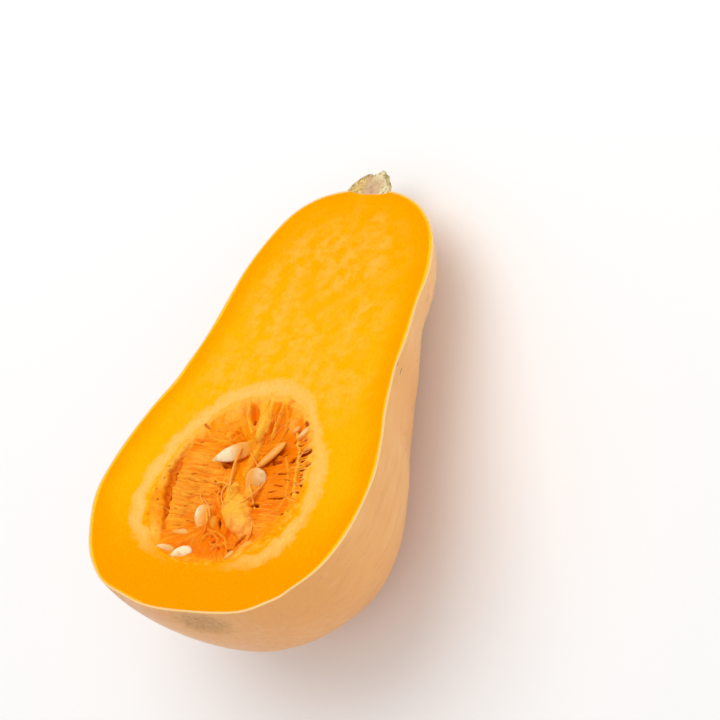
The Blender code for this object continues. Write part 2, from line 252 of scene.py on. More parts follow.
class Surface:
    """A material in the making. Its methods add shader nodes and return what the nodes put out."""

    def __init__(self, name, **sockets):
        """Takes the values of the sockets that are the same all over the surface."""
        self.material = bpy.data.materials.new(name)
        self.material.use_nodes = True
        self.tree = self.material.node_tree
        self.shader = self.tree.nodes["Principled BSDF"]
        for socket, value in {"Subsurface_Scale": 1.0, **sockets}.items():
            self.shader.inputs[socket.replace("_", " ")].default_value = value

    def node(self, kind, inputs=(), **settings):
        """Adds a node. Each input is given by name or number, as a value or another node's output."""
        node = self.tree.nodes.new(f"ShaderNode{kind}")
        for setting, value in settings.items():
            setattr(node, setting, value)
        for key, value in dict(inputs).items():
            if isinstance(value, bpy.types.NodeSocket):
                self.tree.links.new(value, node.inputs[key])
            else:
                node.inputs[key].default_value = value
        return node

    @cached_property
    def place(self):
        """The shaded point in the squash's own frame, in millimetres."""
        inputs = {"Vector": self.node("TexCoord").outputs["Object"]}
        inputs |= {"Location": CUT_ORIGIN, "Rotation": (0.0, TILT, 0.0), "Scale": (MM, MM, MM)}
        return self.node("Mapping", inputs, vector_type="TEXTURE").outputs["Vector"]

    def axes(self):
        """How far along, across and up that point is."""
        return self.node("SeparateXYZ", {"Vector": self.place}).outputs

    def kept(self, name, output="Fac"):
        """A value that is kept on the mesh's points."""
        return self.node("Attribute", attribute_name=name).outputs[output]

    def noise(self, size, detail=3.0, roughness=0.5, stretch=(1.0, 1.0, 1.0), shift=0.0, place=None):
        """Noise whose grains are about size millimetres across, longer along an axis that has a stretch."""
        inputs = {"Vector": place or self.place, "Location": (shift, shift, shift)}
        inputs["Scale"] = [1.0 / (size * factor) for factor in stretch]
        scaled = self.node("Mapping", inputs).outputs["Vector"]
        inputs = {"Vector": scaled, "Scale": 1.0, "Detail": detail, "Roughness": roughness}
        return self.node("TexNoise", inputs).outputs["Fac"]

    def specks(self, density, core, edge, share):
        """Small round specks at random places, as strong as share in their core."""
        inputs = {"Vector": self.place, "Scale": density, "Randomness": 1.0}
        return self.range(self.node("TexVoronoi", inputs).outputs["Distance"], core, edge, share, 0.0)

    def ramp(self, factor, *stops, ease=False):
        """What changes with the factor, by stops of (place, red, green, blue) or (place, value)."""
        ramp = self.node("ValToRGB", {"Fac": factor})
        ramp.color_ramp.interpolation = "EASE" if ease else "LINEAR"
        while len(ramp.color_ramp.elements) < len(stops):
            ramp.color_ramp.elements.new(0.5)
        for element, (place, *colour) in zip(ramp.color_ramp.elements, stops):
            element.position = place
            element.color = (*(colour * 3)[:3], 1.0)
        return ramp.outputs["Color"]

    def layered(self, base, *layers):
        """Lays colours over a base one after another, by layers of (share, colour)."""
        for share, colour in layers:
            colour = (*colour, 1.0) if isinstance(colour, tuple) else colour
            base = self.node("Mix", {0: share, 6: base, 7: colour}, data_type="RGBA").outputs[2]
        return base

    def math(self, operation, first, second):
        return self.node("Math", {0: first, 1: second}, operation=operation).outputs[0]

    def times(self, first, *others):
        for other in others:
            first = self.math("MULTIPLY", first, other)
        return first

    def centred(self, noise):
        """The noise moved so that its middle is zero."""
        return self.math("SUBTRACT", noise, 0.5)

    def range(self, value, low, high, to_low=0.0, to_high=1.0):
        """The value carried over from one range to another, held at its ends and eased between them."""
        inputs = {"Value": value, 1: low, 2: high, 3: to_low, 4: to_high}
        return self.node("MapRange", inputs, interpolation_type="SMOOTHSTEP").outputs[0]

    def ragged(self, value, noise, reach):
        """The value made uneven by a noise."""
        return self.math("ADD", value, self.times(noise, reach))

    def finish(self, *bumps, **leads):
        """Leads outputs to the shader's sockets, and with them bumps of (height, depth in millimetres)."""
        under = {}
        for height, depth in bumps:
            inputs = {"Height": height, "Distance": depth * MM, "Strength": 1.0, **under}
            under = {"Normal": self.node("Bump", inputs).outputs["Normal"]}
        for socket, output in {**leads, **under}.items():
            self.tree.links.new(output, self.shader.inputs[socket.replace("_", " ")])
        return self.material


def rind_surface():
    """Waxy tan skin with faint streaks, cream where it is cut, grey-brown and rough on the scar, and
    darker low down and towards its blunt end, which is painted shade.
    """
    look = Surface(
        "waxy_tan_rind",
        Subsurface_Weight=0.12,
        Subsurface_Radius=(0.004, 0.0015, 0.0006),
        Coat_Weight=0.12,
        Coat_Roughness=0.28,
    )
    station, _, height = look.axes()
    tan = look.ramp(
        look.noise(38.0, detail=2.0),
        (0.35, 0.845, 0.385, 0.105),
        (0.55, 0.885, 0.43, 0.13),
        (0.72, 0.905, 0.475, 0.165),
    )
    # Painted shade: the skin is darkened low down and towards the blunt end.
    low = look.range(height, -22.0, -60.0)
    blunt = look.range(station, 45.0, 12.0, 0.0, 0.7)
    streaks = look.noise(2.6, detail=4.0, roughness=0.6, stretch=(22.0, 1.0, 1.0))
    pale = look.noise(5.0, stretch=(7.0, 1.0, 1.0), shift=9.0)
    scratches = look.noise(1.1, detail=1.0, stretch=(7.0, 1.0, 1.0), shift=31.0)
    where = look.noise(17.0, detail=0.0, shift=4.0)
    scratch = look.times(look.range(scratches, 0.69, 0.75), look.range(where, 0.54, 0.62, 0.0, 0.85))
    towards_scar = look.node("VectorMath", {0: look.place, 1: SCAR}, operation="SUBTRACT").outputs[0]
    pressed = look.node("VectorMath", {0: towards_scar, 1: SCAR_SQUASH}, operation="MULTIPLY").outputs[0]
    from_scar = look.node("VectorMath", {0: pressed}, operation="LENGTH").outputs["Value"]
    from_scar = look.ragged(from_scar, look.noise(3.5, detail=5.0, roughness=0.7), 11.0)
    scar = look.range(from_scar, SCAR_RADIUS, SCAR_RADIUS + SCAR_FADE, 1.0, 0.0)
    crust = look.noise(1.0, detail=5.0, roughness=0.7)
    dry = look.ramp(crust, (0.36, 0.4, 0.18, 0.06), (0.46, 0.62, 0.34, 0.14), (0.6, 0.78, 0.47, 0.22))
    cut = look.range(look.ragged(height, look.noise(7.0, detail=2.0), 0.35), -0.3, 0.05)
    colour = look.layered(
        tan,
        (look.range(station, 110.0, 190.0, 0.0, 0.45), (0.94, 0.53, 0.24)),
        # Painted shade low down and at the blunt end
        (look.times(look.math("MAXIMUM", low, blunt), 0.75), (0.79, 0.32, 0.065)),
        (look.range(streaks, 0.5, 0.72, 0.0, 0.3), (0.68, 0.31, 0.11)),
        (look.range(pale, 0.56, 0.75, 0.0, 0.16), (0.9, 0.6, 0.34)),
        (look.specks(0.42, 0.07, 0.16, 0.35), (0.9, 0.64, 0.38)),
        (scratch, (0.23, 0.11, 0.045)),
        (look.times(scar, 0.62), dry),
        (cut, (0.96, 0.57, 0.21)),
    )
    rough = look.layered(look.range(streaks, 0.3, 0.7, 0.36, 0.5), (scar, (0.9, 0.9, 0.9)))
    bumps = (streaks, 0.1), (look.noise(0.8), 0.05), (look.times(scar, crust), 0.9), (scratch, -0.15)
    return look.finish(*bumps, Base_Color=colour, Roughness=rough)


def dent_rind(body):
    """Gives the skin the slight unevenness of a grown fruit, and the scar its crust."""
    for vertex in body.verts:
        station = vertex.co.x
        out = vertex.co - Vector((station, value_at(SIDEWAYS, station), -axis_depth(station)))
        reach = out.length
        if reach < 0.01:
            continue
        out /= reach
        fade = min(reach / 30.0, 1.0)
        dent = noise.noise(vertex.co / BROAD_DENTS) + 0.35 * noise.noise(vertex.co / FINE_DENTS)
        lobes = 0.25 * math.cos(RIND_LOBES * math.atan2(out.y, out.z))
        vertex.co += out * RIND_DENT * fade * (dent + lobes - 0.4)
        from_scar = ((vertex.co - SCAR) * SCAR_SQUASH).length
        scar = float(smooth_step(SCAR_RADIUS, SCAR_RADIUS * 0.4, from_scar))
        vertex.co.x += scar * SCAR_RELIEF * (1.0 + noise.noise(vertex.co / SCAR_CRUMBS))


def draw_on(body, rim, known):
    """Grows a strip of faces from a rim. Returns its new rim, and what is known of each corner below."""
    grown = bmesh.ops.extrude_edge_only(body, edges=rim)["geom"]
    rim = [item for item in grown if isinstance(item, bmesh.types.BMEdge) and item.is_boundary]
    carried = {}
    for vertex in corners_of(rim):
        beside = (edge.other_vert(vertex) for edge in vertex.link_edges)
        carried[vertex] = known[next(other for other in beside if other in known)]
    return rim, carried


def round_over(shell, rim):
    """Rounds the outer edge of the cut: draws it inwards and up to the cut again in small steps."""
    shell.normal_update()
    corners = {}
    for vertex in corners_of(rim):
        inward = -Vector((vertex.normal.x, vertex.normal.y, 0.0)).normalized()
        corners[vertex] = vertex.co.copy(), inward
        vertex.co.z -= RIND_EDGE
    for step in range(1, RIND_EDGE_STEPS + 1):
        turn = 0.5 * math.pi * step / RIND_EDGE_STEPS
        rim, corners = draw_on(shell, rim, corners)
        for vertex, (corner, inward) in corners.items():
            drawn = inward * (1.0 - math.cos(turn)) - Vector((0.0, 0.0, 1.0 - math.sin(turn)))
            vertex.co = corner + RIND_EDGE * drawn
    merge_near(shell, corners_of(rim), 0.1 * SHORTEST_CUT_EDGE)


def build_rind():
    shell = turned_body(0.0, RIND_SPACING, RIND_SIDES)
    dent_rind(shell)
    inner_skin = turned_body(RIND_THICKNESS, RIND_SPACING, RIND_SIDES)
    round_over(shell, cut_flat(shell))
    cut_flat(inner_skin)
    bmesh.ops.reverse_faces(inner_skin, faces=inner_skin.faces)
    take_in(shell, mesh_of("inner_skin", inner_skin))
    bmesh.ops.triangle_fill(shell, edges=open_edges(shell), use_beauty=True, normal=(0, 0, 1))
    return lay_down("rind_skin", shell, rind_surface())


rind = build_rind()
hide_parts("rind")

# The flesh: firm, moist and deep yellow, solid behind the knife's flat face, with the round bowl that
# held the seeds. It is one body with the rind round it. The face is brightest just inside the rind,
# peachy and streaked along the middle of the neck, and has a pale spongy ring round the bowl.

FLESH_INSET = RIND_THICKNESS + 0.03
FLESH_SPACING = 1.7
FLESH_SIDES = 72
FACE_RINGS = 44
BOWL_RINGS = 14
BOWL_CENTRE = (64.5, 1.5)
BOWL_DEPTH = 49.0
BOWL_LIP = 0.12
BOWL_LIP_WIDTH = 2.2
BOWL_BOTTOM_MERGE = 0.5
# What lies less deep than this is taken as the face, and its edge is traced at so many stations
FACE_BAND = 0.9
EDGE_MARKS = 500
# The bowl's rim, as (direction in degrees from +X towards +Y, radius)
BOWL_RIM = (
    (-180, 41.0), (-159, 42.0), (-135, 39.5), (-114, 38.3), (-94, 37.3), (-67, 38.5), (-46, 41.0),
    (-19, 43.0), (4, 42.0), (28, 40.5), (44, 37.5), (72, 36.0), (93, 37.0), (122, 39.5), (147, 41.5),
    (180, 41.0),
)
# The pale ring, as (direction, radius of its inner edge, of its outer edge, how strongly it shows)
RING = (
    (-180, 42.3, 46.0, 0.0), (-163, 42.6, 47.0, 0.05), (-150, 41.8, 51.0, 0.6), (-135, 44.6, 53.5, 0.85),
    (-120, 43.2, 52.8, 0.9), (-105, 41.8, 50.8, 0.8), (-90, 38.3, 48.8, 0.85), (-75, 37.0, 47.8, 0.82),
    (-60, 37.2, 44.8, 0.8), (-45, 39.6, 45.2, 0.9), (-30, 41.0, 49.8, 0.72), (-15, 42.0, 52.8, 0.78),
    (0, 40.0, 52.0, 0.98), (15, 40.6, 49.3, 1.0), (30, 38.3, 48.7, 1.0), (45, 36.0, 46.4, 1.0),
    (60, 35.2, 45.4, 0.96), (75, 35.2, 46.0, 1.0), (90, 37.2, 47.4, 0.96), (105, 39.9, 48.9, 1.0),
    (120, 41.2, 50.0, 0.92), (135, 40.3, 48.9, 0.68), (148, 41.5, 46.8, 0.15), (165, 42.6, 46.0, 0.0),
    (180, 42.3, 46.0, 0.0),
)


def round_value(table, angle, column=1):
    """A value read from a table that goes once round, eased between its rows."""
    rows = np.array(table)
    nearest = np.searchsorted(rows[:, 0], angle, side="right").clip(1, len(rows) - 1)
    low, high = rows[nearest - 1, 0], rows[nearest, 0]
    share = smooth_step(0.0, 1.0, (angle - low) / (high - low))
    return rows[nearest - 1, column] * (1.0 - share) + rows[nearest, column] * share


def from_bowl(x, y):
    """Direction in degrees and distance of points of the cut, seen from the bowl's centre."""
    across, aside = np.asarray(x) - BOWL_CENTRE[0], np.asarray(y) - BOWL_CENTRE[1]
    return np.degrees(np.arctan2(aside, across)), np.hypot(across, aside)


def face_place(rim, step):
    """Where the face's ring number step lies on the line from a rim point to the bowl, or down in it."""
    angle = float(from_bowl(rim.x, rim.y)[0])
    edge = float(round_value(BOWL_RIM, angle))
    out = Vector((math.cos(math.radians(angle)), math.sin(math.radians(angle)), 0.0))
    centre = Vector((*BOWL_CENTRE, 0.0))
    if step <= FACE_RINGS:
        share = 0.5 - 0.5 * math.cos(math.pi * step / FACE_RINGS)
        place = rim.lerp(centre + out * edge, share)
        lip = float(smooth_step(BOWL_LIP_WIDTH, 0.0, (place - centre).length - edge))
        return place - Vector((0.0, 0.0, BOWL_LIP * lip * lip))
    down = 0.5 * math.pi * (step - FACE_RINGS) / BOWL_RINGS
    return centre + out * (edge * math.cos(down)) - Vector((0.0, 0.0, BOWL_LIP + BOWL_DEPTH * math.sin(down)))


def lay_face(flesh, rim):
    """Draws the rim inwards ring by ring: the flat face first, then down the bowl to its lowest point."""
    rim_place = {vertex: vertex.co.copy() for vertex in corners_of(rim)}
    for step in range(1, FACE_RINGS + BOWL_RINGS + 1):
        rim, rim_place = draw_on(flesh, rim, rim_place)
        for vertex, place in rim_place.items():
            vertex.co = face_place(place, step)
    bmesh.ops.remove_doubles(flesh, verts=list(rim_place), dist=BOWL_BOTTOM_MERGE)


def flesh_surface():
    """Deep yellow flesh by depth under the rind, streaked in the neck, with the ring round the bowl, and
    small painted glints.
    """
    look = Surface(
        "moist_orange_flesh",
        Subsurface_Weight=0.25,
        Subsurface_Radius=(0.0025, 0.0012, 0.0003),
        Specular_IOR_Level=0.0,
        Roughness=0.5,
    )
    station = look.axes()[0]
    depth = look.kept("from_rind")
    ragged_depth = look.ragged(depth, look.noise(16.0, detail=4.0, roughness=0.6), 9.0)
    base = look.ramp(
        look.math("DIVIDE", ragged_depth, 40.0),
        (0.1, 0.985, 0.34, 0.0),
        (0.3, 0.985, 0.37, 0.0),
        (0.62, 0.985, 0.395, 0.0),
    )
    yellow = look.times(look.range(station, 200.0, 125.0), look.range(ragged_depth, 7.0, 19.0), 0.9)
    wisps = look.noise(7.5, detail=6.0, roughness=0.62, shift=3.0)
    blotch = look.noise(24.0, roughness=0.6, shift=14.0)
    peachy = look.times(look.range(wisps, 0.4, 0.66), look.range(blotch, 0.34, 0.58, 0.3, 1.0))
    middle = look.times(look.range(depth, 5.0, 22.0), look.range(station, 84.0, 116.0))
    spongy = look.centred(look.noise(6.5, detail=6.0, roughness=0.62))
    ring = look.ragged(look.kept("ring"), spongy, 1.15)
    in_ring = look.ramp(ring, (0.0, 0.0), (0.26, 0.85), (0.5, 1.0), (0.7, 0.72), (1.0, 0.0), ease=True)
    fibres = look.noise(1.3, roughness=0.6, stretch=(1.6, 1.0, 1.0), shift=21.0)
    inner_colour = look.ramp(
        look.noise(3.4, detail=4.0, roughness=0.6, shift=40.0),
        (0.36, 0.96, 0.27, 0.0),
        (0.5, 0.985, 0.345, 0.004),
        (0.66, 0.99, 0.45, 0.045),
    )
    colour = look.layered(
        base,
        (yellow, (0.98, 0.452, 0.002)),
        (look.range(station, 68.0, 12.0), (0.985, 0.322, 0.0)),
        (look.times(peachy, middle, 0.58), (0.98, 0.52, 0.09)),
        (look.times(in_ring, look.kept("ring_strength")), (0.985, 0.545, 0.13)),
        (look.range(depth, 0.3, 1.5, 0.85, 0.0), (1.0, 0.64, 0.02)),
        # Painted glints: small pale specks that stand in for wet highlights.
        (look.specks(0.55, 0.06, 0.14, 0.35), (1.0, 0.56, 0.08)),
        (look.range(fibres, 0.4, 0.62, 0.16, 0.0), (0.9, 0.27, 0.0)),
        (look.range(ring, -0.22, 0.1, 1.0, 0.0), inner_colour),
    )
    damp = look.range(look.noise(9.0), 0.35, 0.65, 0.3, 0.46)
    cells = look.noise(0.75, detail=2.0, roughness=0.6)
    grain = look.noise(2.4, stretch=(2.0, 1.0, 1.0))
    return look.finish((grain, 0.16), (cells, 0.1), Base_Color=colour, Roughness=damp)


def measure_flesh(obj):
    """Keeps, on every point, how deep it lies under the rind and where it is across the pale ring."""
    mesh = obj.data
    to_squash = LAID.inverted()
    points = np.array([to_squash @ vertex.co for vertex in mesh.vertices])
    on_face = points[:, 2] > -FACE_BAND
    angle, distance = from_bowl(points[:, 0], points[:, 1])
    inner, outer = table_value(RING, angle, 1), table_value(RING, angle, 2)
    ring = (distance - inner) / (outer - inner)
    edge = np.array([face_edge(station) for station in np.linspace(0.5, LENGTH - 0.5, EDGE_MARKS)])
    depth = np.zeros(len(points))
    for index in np.flatnonzero(on_face):
        x, y = points[index, :2]
        depth[index] = np.hypot(edge[:, :1] - x, edge[:, 1:] - y).min()
    strength = table_value(RING, angle, 3)
    for name, values in (("from_rind", depth), ("ring", ring), ("ring_strength", strength)):
        attribute = mesh.attributes.new(name, "FLOAT", "POINT")
        attribute.data.foreach_set("value", np.asarray(values, dtype=np.float32))


def face_edge(station):
    """The station, and the Y of the flesh's edge on either side of the cut there."""
    radius = radius_at(station) - FLESH_INSET
    half = math.sqrt(max(radius**2 - axis_depth(station) ** 2, 0.0))
    middle = value_at(SIDEWAYS, station)
    return station, middle - half, middle + half


def build_flesh():
    flesh = turned_body(FLESH_INSET, FLESH_SPACING, FLESH_SIDES)
    lay_face(flesh, cut_flat(flesh))
    obj = lay_down("flesh_body", flesh, flesh_surface())
    measure_flesh(obj)
    return obj


flesh_body = build_flesh()
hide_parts("flesh")

# The pulp: the wet, stringy orange filling of the bowl. It grew from the pale ring inwards, so its ribs
# all run towards the middle. This is its bed, one body with lobes, ribs, slits and the pockets
# of the seeds. Under the face it fills the bowl.

# The direction from which the face is mainly seen: what lies in the pulp is placed by where it shows
SIGHT = Vector((-0.4695, -0.5676, 0.6763))
BED_ROUND = 560
BED_ROWS = 130
BED_UNDER_ROWS = 10
BED_EDGE_DEPTH = 0.14
BED_SHALLOWEST = 0.8 * BED_EDGE_DEPTH
# How far the bed reaches over the bowl's rim and into the flesh, the depth at which its sides start, and
# how far its bottom stays over the bowl's
BED_OVERLAP = 0.35
BED_SIDE_START = 0.7
BED_OFF_BOTTOM = 0.5
# The bed falls away from its edge in a bank and then in a wide hollow
BED_BANK = 1.6
BED_HOLLOW = 1.9
# Sizes of the ribs, across and along their run, and of the bends, crumbs, curls and pits of the bed
BROAD_RIBS = (1.7, 1.7, 22.0)
FINE_RIBS = (0.75, 0.75, 9.0)
WARP_SIZE, CRUMB_SIZE, CURL_SIZE, PIT_SIZE = 8.0, 3.0, 2.6, 1.1
# How high each of them stands
BROAD_RISE, FINE_RISE, CURL_RISE, PIT_RISE = 1.9, 0.8, 1.1, 0.2
# The ribs stand square to this line along the bowl and fan out round its ends
SPINE = ((46.0, 1.0), (82.0, 1.0))
SPINE_ROUND = 12.0
# Soft swellings and hollows, as (x, y, half length, half width, turn in degrees, rise, paleness, which is
# negative where the pulp is painted deeper in colour, mostly as shade in its hollows)
LOBES = (
    (94.8, 14.0, 8.8, 11.0, 0, 2.0, 0.2),
    (95.5, 13.0, 5.0, 5.5, 0, 0.4, 0.55),
    (57.6, 6.6, 4.6, 4.2, 0, -1.4, -0.6),
    (57.0, 12.0, 17.0, 13.0, 10, -2.8, 0.0),
    (71.0, 2.0, 8.0, 6.0, 0, -1.2, 0.0),
    (78.0, 3.0, 7.5, 10.0, -15, -2.4, 0.0),
    (76.5, -14.5, 8.5, 4.0, -35, -1.8, 0.0),
    (63.0, -12.0, 8.5, 6.5, 0, -2.2, 0.0),
    (45.5, 7.0, 8.5, 5.5, 0, -1.0, 0.0),
    (28.0, 13.0, 4.5, 13.0, 5, -1.4, -0.4),
    (33.0, -3.5, 9.0, 10.0, 0, -1.0, -0.3),
    (48.0, -8.5, 13.5, 7.5, 40, 3.4, 0.95),
    (42.5, -14.5, 8.0, 5.5, 35, 1.8, 0.6),
    (57.0, -2.5, 7.0, 3.4, 10, 2.2, 0.95),
    (38.8, -8.8, 4.4, 1.9, -23, -1.8, -0.9),
    (42.8, 1.2, 3.6, 2.2, 24, 1.8, 0.55),
    (85.6, 11.6, 2.4, 2.0, 40, 1.5, 0.75),
    (86.6, 7.2, 1.5, 1.2, 20, -0.9, -0.9),
    (97.0, 3.4, 6.6, 2.1, 30, -2.6, -0.55),
    (90.0, -0.4, 2.0, 1.6, 30, 1.2, 0.7),
    (94.0, -8.6, 11.5, 1.9, 2, -2.4, -0.6),
    (92.5, -13.2, 9.5, 3.2, 6, -1.4, -0.55),
    (81.0, -1.6, 3.6, 3.4, 20, 3.4, 0.55),
    (58.6, -11.6, 4.8, 4.4, 10, 3.8, 0.8),
    (46.4, 4.6, 6.4, 2.7, 4, 4.4, 0.4),
    (104.4, -13.1, 2.2, 1.7, 0, -1.6, -0.8),
    (95.0, -18.5, 9.0, 2.8, 5, 0.5, 0.25),
    (62.0, -22.0, 11.0, 9.0, 0, 1.2, -0.3),
    (76.0, -23.0, 6.0, 5.0, 0, -0.8, -0.5),
    (56.5, -37.0, 7.0, 3.0, 8, 0.6, 0.35),
    (43.0, -27.0, 9.0, 6.5, 50, 1.2, 0.15),
    (32.0, -20.0, 4.5, 2.4, -40, 0.9, 0.55),
)
# A lobe less pale or deep than this keeps the bed's ribs
PLAIN_LOBE = 0.15
# Ribbons that stand out of the bed along a path, as (half width, rise, paleness, points)
RIBBONS = (
    (2.4, 1.9, 0.45, ((94.4, -3.0), (85.5, -5.0), (79.8, -5.9), (72.2, -6.2), (66.3, -6.0))),
    (2.4, 1.9, 0.85, ((111.0, 3.6), (104.6, 1.2), (94.4, -3.0), (84.0, -5.2))),
    (1.1, 1.5, 0.8, ((111.0, -1.5), (104.8, -2.8), (99.6, -4.0), (94.5, -5.2), (88.2, -6.9))),
    (1.2, 1.5, 0.65, ((109.0, 11.5), (103.1, 9.1), (98.7, 6.8), (94.2, 5.2), (91.0, 3.1), (87.3, 0.3))),
    (0.9, 1.3, 0.6, ((108.0, -9.6), (103.5, -9.8), (97.0, -9.9), (91.0, -10.6), (85.5, -11.0))),
    (0.6, 1.2, 0.3, ((106.0, -10.0), (103.0, -11.0), (94.8, -14.9), (88.5, -16.3), (84.0, -15.7))),
    (0.8, 0.9, 0.1, ((84.6, 8.6), (85.1, 6.6), (86.8, 5.2), (88.2, 6.0), (87.6, 8.8), (86.0, 10.6))),
    (0.8, 0.7, 0.3, ((102.0, 18.0), (96.0, 24.0), (89.0, 24.6), (84.5, 21.0), (82.0, 15.0), (83.5, 8.0))),
    (1.0, 1.2, 0.7, (
        (88.0, -22.5), (82.5, -25.6), (77.4, -28.4), (71.0, -30.0), (65.5, -31.0), (59.0, -33.4),
        (53.8, -35.0), (47.3, -33.0),
    )),
    (0.7, 0.8, 0.45, ((80.0, -35.6), (76.4, -34.0), (74.0, -32.6), (71.4, -31.4), (68.6, -31.0))),
    (0.6, 0.7, 0.4, ((72.4, -36.6), (70.6, -34.4), (68.6, -34.4), (65.0, -35.0), (61.0, -33.8))),
    (0.8, 0.7, 0.3, ((75.5, -22.0), (70.0, -25.5), (63.0, -28.5), (56.0, -30.0), (50.0, -28.5))),
    (0.8, 0.9, 0.35, ((63.5, 9.5), (61.0, 6.0), (60.6, 2.0), (57.0, -1.5))),
    (0.8, 0.9, 0.35, ((50.0, 0.5), (54.0, 4.0), (59.0, 5.5), (64.0, 4.0))),
    (0.8, 1.6, 0.34, ((38.6, 1.4), (37.7, -1.0), (37.3, -4.2), (35.1, -8.4), (32.2, -11.0), (30.8, -8.6))),
    (0.7, 1.5, 0.34, ((29.3, -4.5), (30.9, -5.8), (32.0, -8.5), (31.6, -11.3), (29.6, -12.8))),
    (0.7, 1.5, 0.3, (
        (33.8, 2.7), (36.4, 1.3), (36.6, -1.9), (34.3, -5.5), (31.9, -6.0), (31.1, -3.7), (32.6, -2.0),
    )),
    (0.6, 0.8, 0.1, ((30.0, -6.6), (27.6, -6.4), (25.0, -8.4))),
    (0.6, 0.8, 0.1, ((30.6, -9.4), (28.0, -10.0), (25.4, -12.0))),
)
# Holes and slits between the fibres, darkened with painted shade, as (x, y, half length, half width,
# turn in degrees, depth)
HOLES = (
    (92.9, -25.1, 1.0, 1.9, -50, 1.6), (78.6, -30.9, 3.3, 1.5, -51, 3.6),
    (74.6, -26.5, 2.8, 1.15, -39, 3.0), (81.6, -27.7, 1.6, 0.65, -50, 1.8),
    (74.8, -31.2, 1.8, 0.85, -60, 2.6), (73.1, -34.2, 1.6, 0.8, -50, 2.4),
    (70.2, -32.9, 2.1, 0.85, -75, 2.8), (67.4, -33.1, 1.1, 0.9, -60, 2.4),
    (65.2, -34.0, 1.3, 0.65, -70, 2.0), (62.9, -36.0, 1.9, 0.75, -85, 2.4),
    (63.0, -31.5, 2.0, 0.6, -86, 2.0), (59.6, -35.2, 1.6, 0.65, -80, 1.8),
    (57.0, -36.0, 1.3, 0.6, -85, 1.6), (58.5, -32.4, 1.2, 0.6, -70, 1.6),
    (53.8, -36.4, 1.3, 0.6, -80, 1.4), (50.6, -34.6, 1.2, 0.6, -60, 1.4),
    (48.6, -31.5, 1.2, 0.55, -50, 1.4), (85.2, -27.6, 1.3, 0.55, -40, 1.4),
    (88.6, -23.6, 1.2, 0.55, -40, 1.2), (83.6, -23.4, 1.2, 0.55, -40, 1.2),
    (67.9, -23.0, 4.4, 0.5, 92, 2.0), (56.0, -26.0, 4.8, 0.55, 95, 2.0), (62.0, -24.0, 3.2, 0.4, 85, 1.4),
    (59.0, -22.0, 2.4, 0.35, 98, 1.2), (65.0, -27.0, 2.2, 0.35, 80, 1.2),
    (51.5, -16.4, 2.8, 1.15, 88, 3.0), (42.1, -2.4, 3.5, 0.75, 24, 3.0), (34.9, -16.2, 3.9, 0.7, -30, 2.4),
    (29.6, -13.4, 1.6, 0.5, -45, 1.4), (92.2, 1.2, 1.3, 0.8, 30, 1.8), (71.0, 6.4, 3.8, 1.7, 82, 2.8),
    (73.0, -18.4, 2.8, 1.2, 110, 1.6), (77.0, -21.4, 1.6, 0.5, -40, 1.2),
    (96.6, -10.0, 1.4, 0.3, -30, 0.8), (90.0, 25.6, 3.2, 0.8, 55, 0.8), (82.0, 24.6, 1.4, 0.7, 90, 1.2),
    (33.4, -3.4, 0.9, 0.9, 0, 1.2), (35.6, -1.4, 0.7, 0.5, 0, 0.9), (30.4, -7.4, 0.7, 0.5, 0, 0.9),
    (61.6, 8.6, 0.9, 0.6, 20, 1.4), (59.8, 4.9, 0.9, 0.6, -20, 1.4), (57.3, 6.2, 0.8, 0.7, 0, 1.4),
    (55.9, 8.2, 0.9, 0.5, 40, 1.2), (56.1, 3.9, 0.8, 0.5, 0, 1.2), (54.3, 2.2, 0.8, 0.5, 0, 1.0),
    (66.6, 31.4, 1.3, 0.9, 60, 1.8), (63.4, 30.6, 1.6, 0.7, 80, 1.4), (58.6, 30.6, 1.4, 0.8, 20, 1.6),
    (54.4, 29.4, 1.8, 0.7, 15, 1.8), (50.2, 28.6, 1.3, 0.7, 30, 1.6), (46.2, 27.4, 1.5, 0.7, 20, 1.4),
    (58.0, 38.2, 0.5, 0.8, 20, 0.9), (49.6, 38.4, 0.5, 1.1, 30, 0.8), (69.6, 36.4, 0.6, 1.0, 10, 0.8),
    (63.6, 36.2, 0.7, 0.5, 40, 0.8), (41.4, 34.6, 0.9, 0.5, 30, 0.8), (41.0, -33.0, 0.9, 0.5, -60, 1.0),
    (45.2, -35.2, 0.8, 0.5, -40, 1.0), (38.0, -27.6, 0.9, 0.5, -30, 1.0), (45.4, 36.7, 0.5, 1.0, 0, 0.9),
    (52.8, 34.8, 0.6, 0.8, 0, 0.8), (61.9, 14.2, 1.6, 0.28, 90, 0.7), (58.0, 18.4, 1.5, 0.25, 92, 0.6),
    (57.6, 12.9, 1.3, 0.28, 88, 0.7), (50.1, 19.4, 1.8, 0.25, 88, 0.6), (42.4, 13.9, 1.7, 0.3, 90, 0.7),
    (48.3, 23.4, 1.2, 0.28, 80, 0.6), (66.0, 22.0, 1.8, 0.25, 94, 0.6), (70.6, 18.4, 1.6, 0.25, 96, 0.6),
)
HOLE_SINK = 0.55
# The groove between the left wall of the pulp and its rim, which is darkened as painted shade, as
# (x, y, depth, half width)
GROOVE = (
    (86.0, 27.5, 0.3, 0.8), (76.0, 31.5, 1.0, 1.4), (67.0, 33.0, 2.2, 2.9), (61.8, 32.2, 2.0, 2.5),
    (56.5, 31.2, 2.5, 2.3), (51.4, 29.6, 2.1, 2.1), (47.4, 28.3, 1.9, 1.5), (41.0, 26.0, 1.2, 1.2),
    (33.0, 23.5, 0.3, 1.0),
)
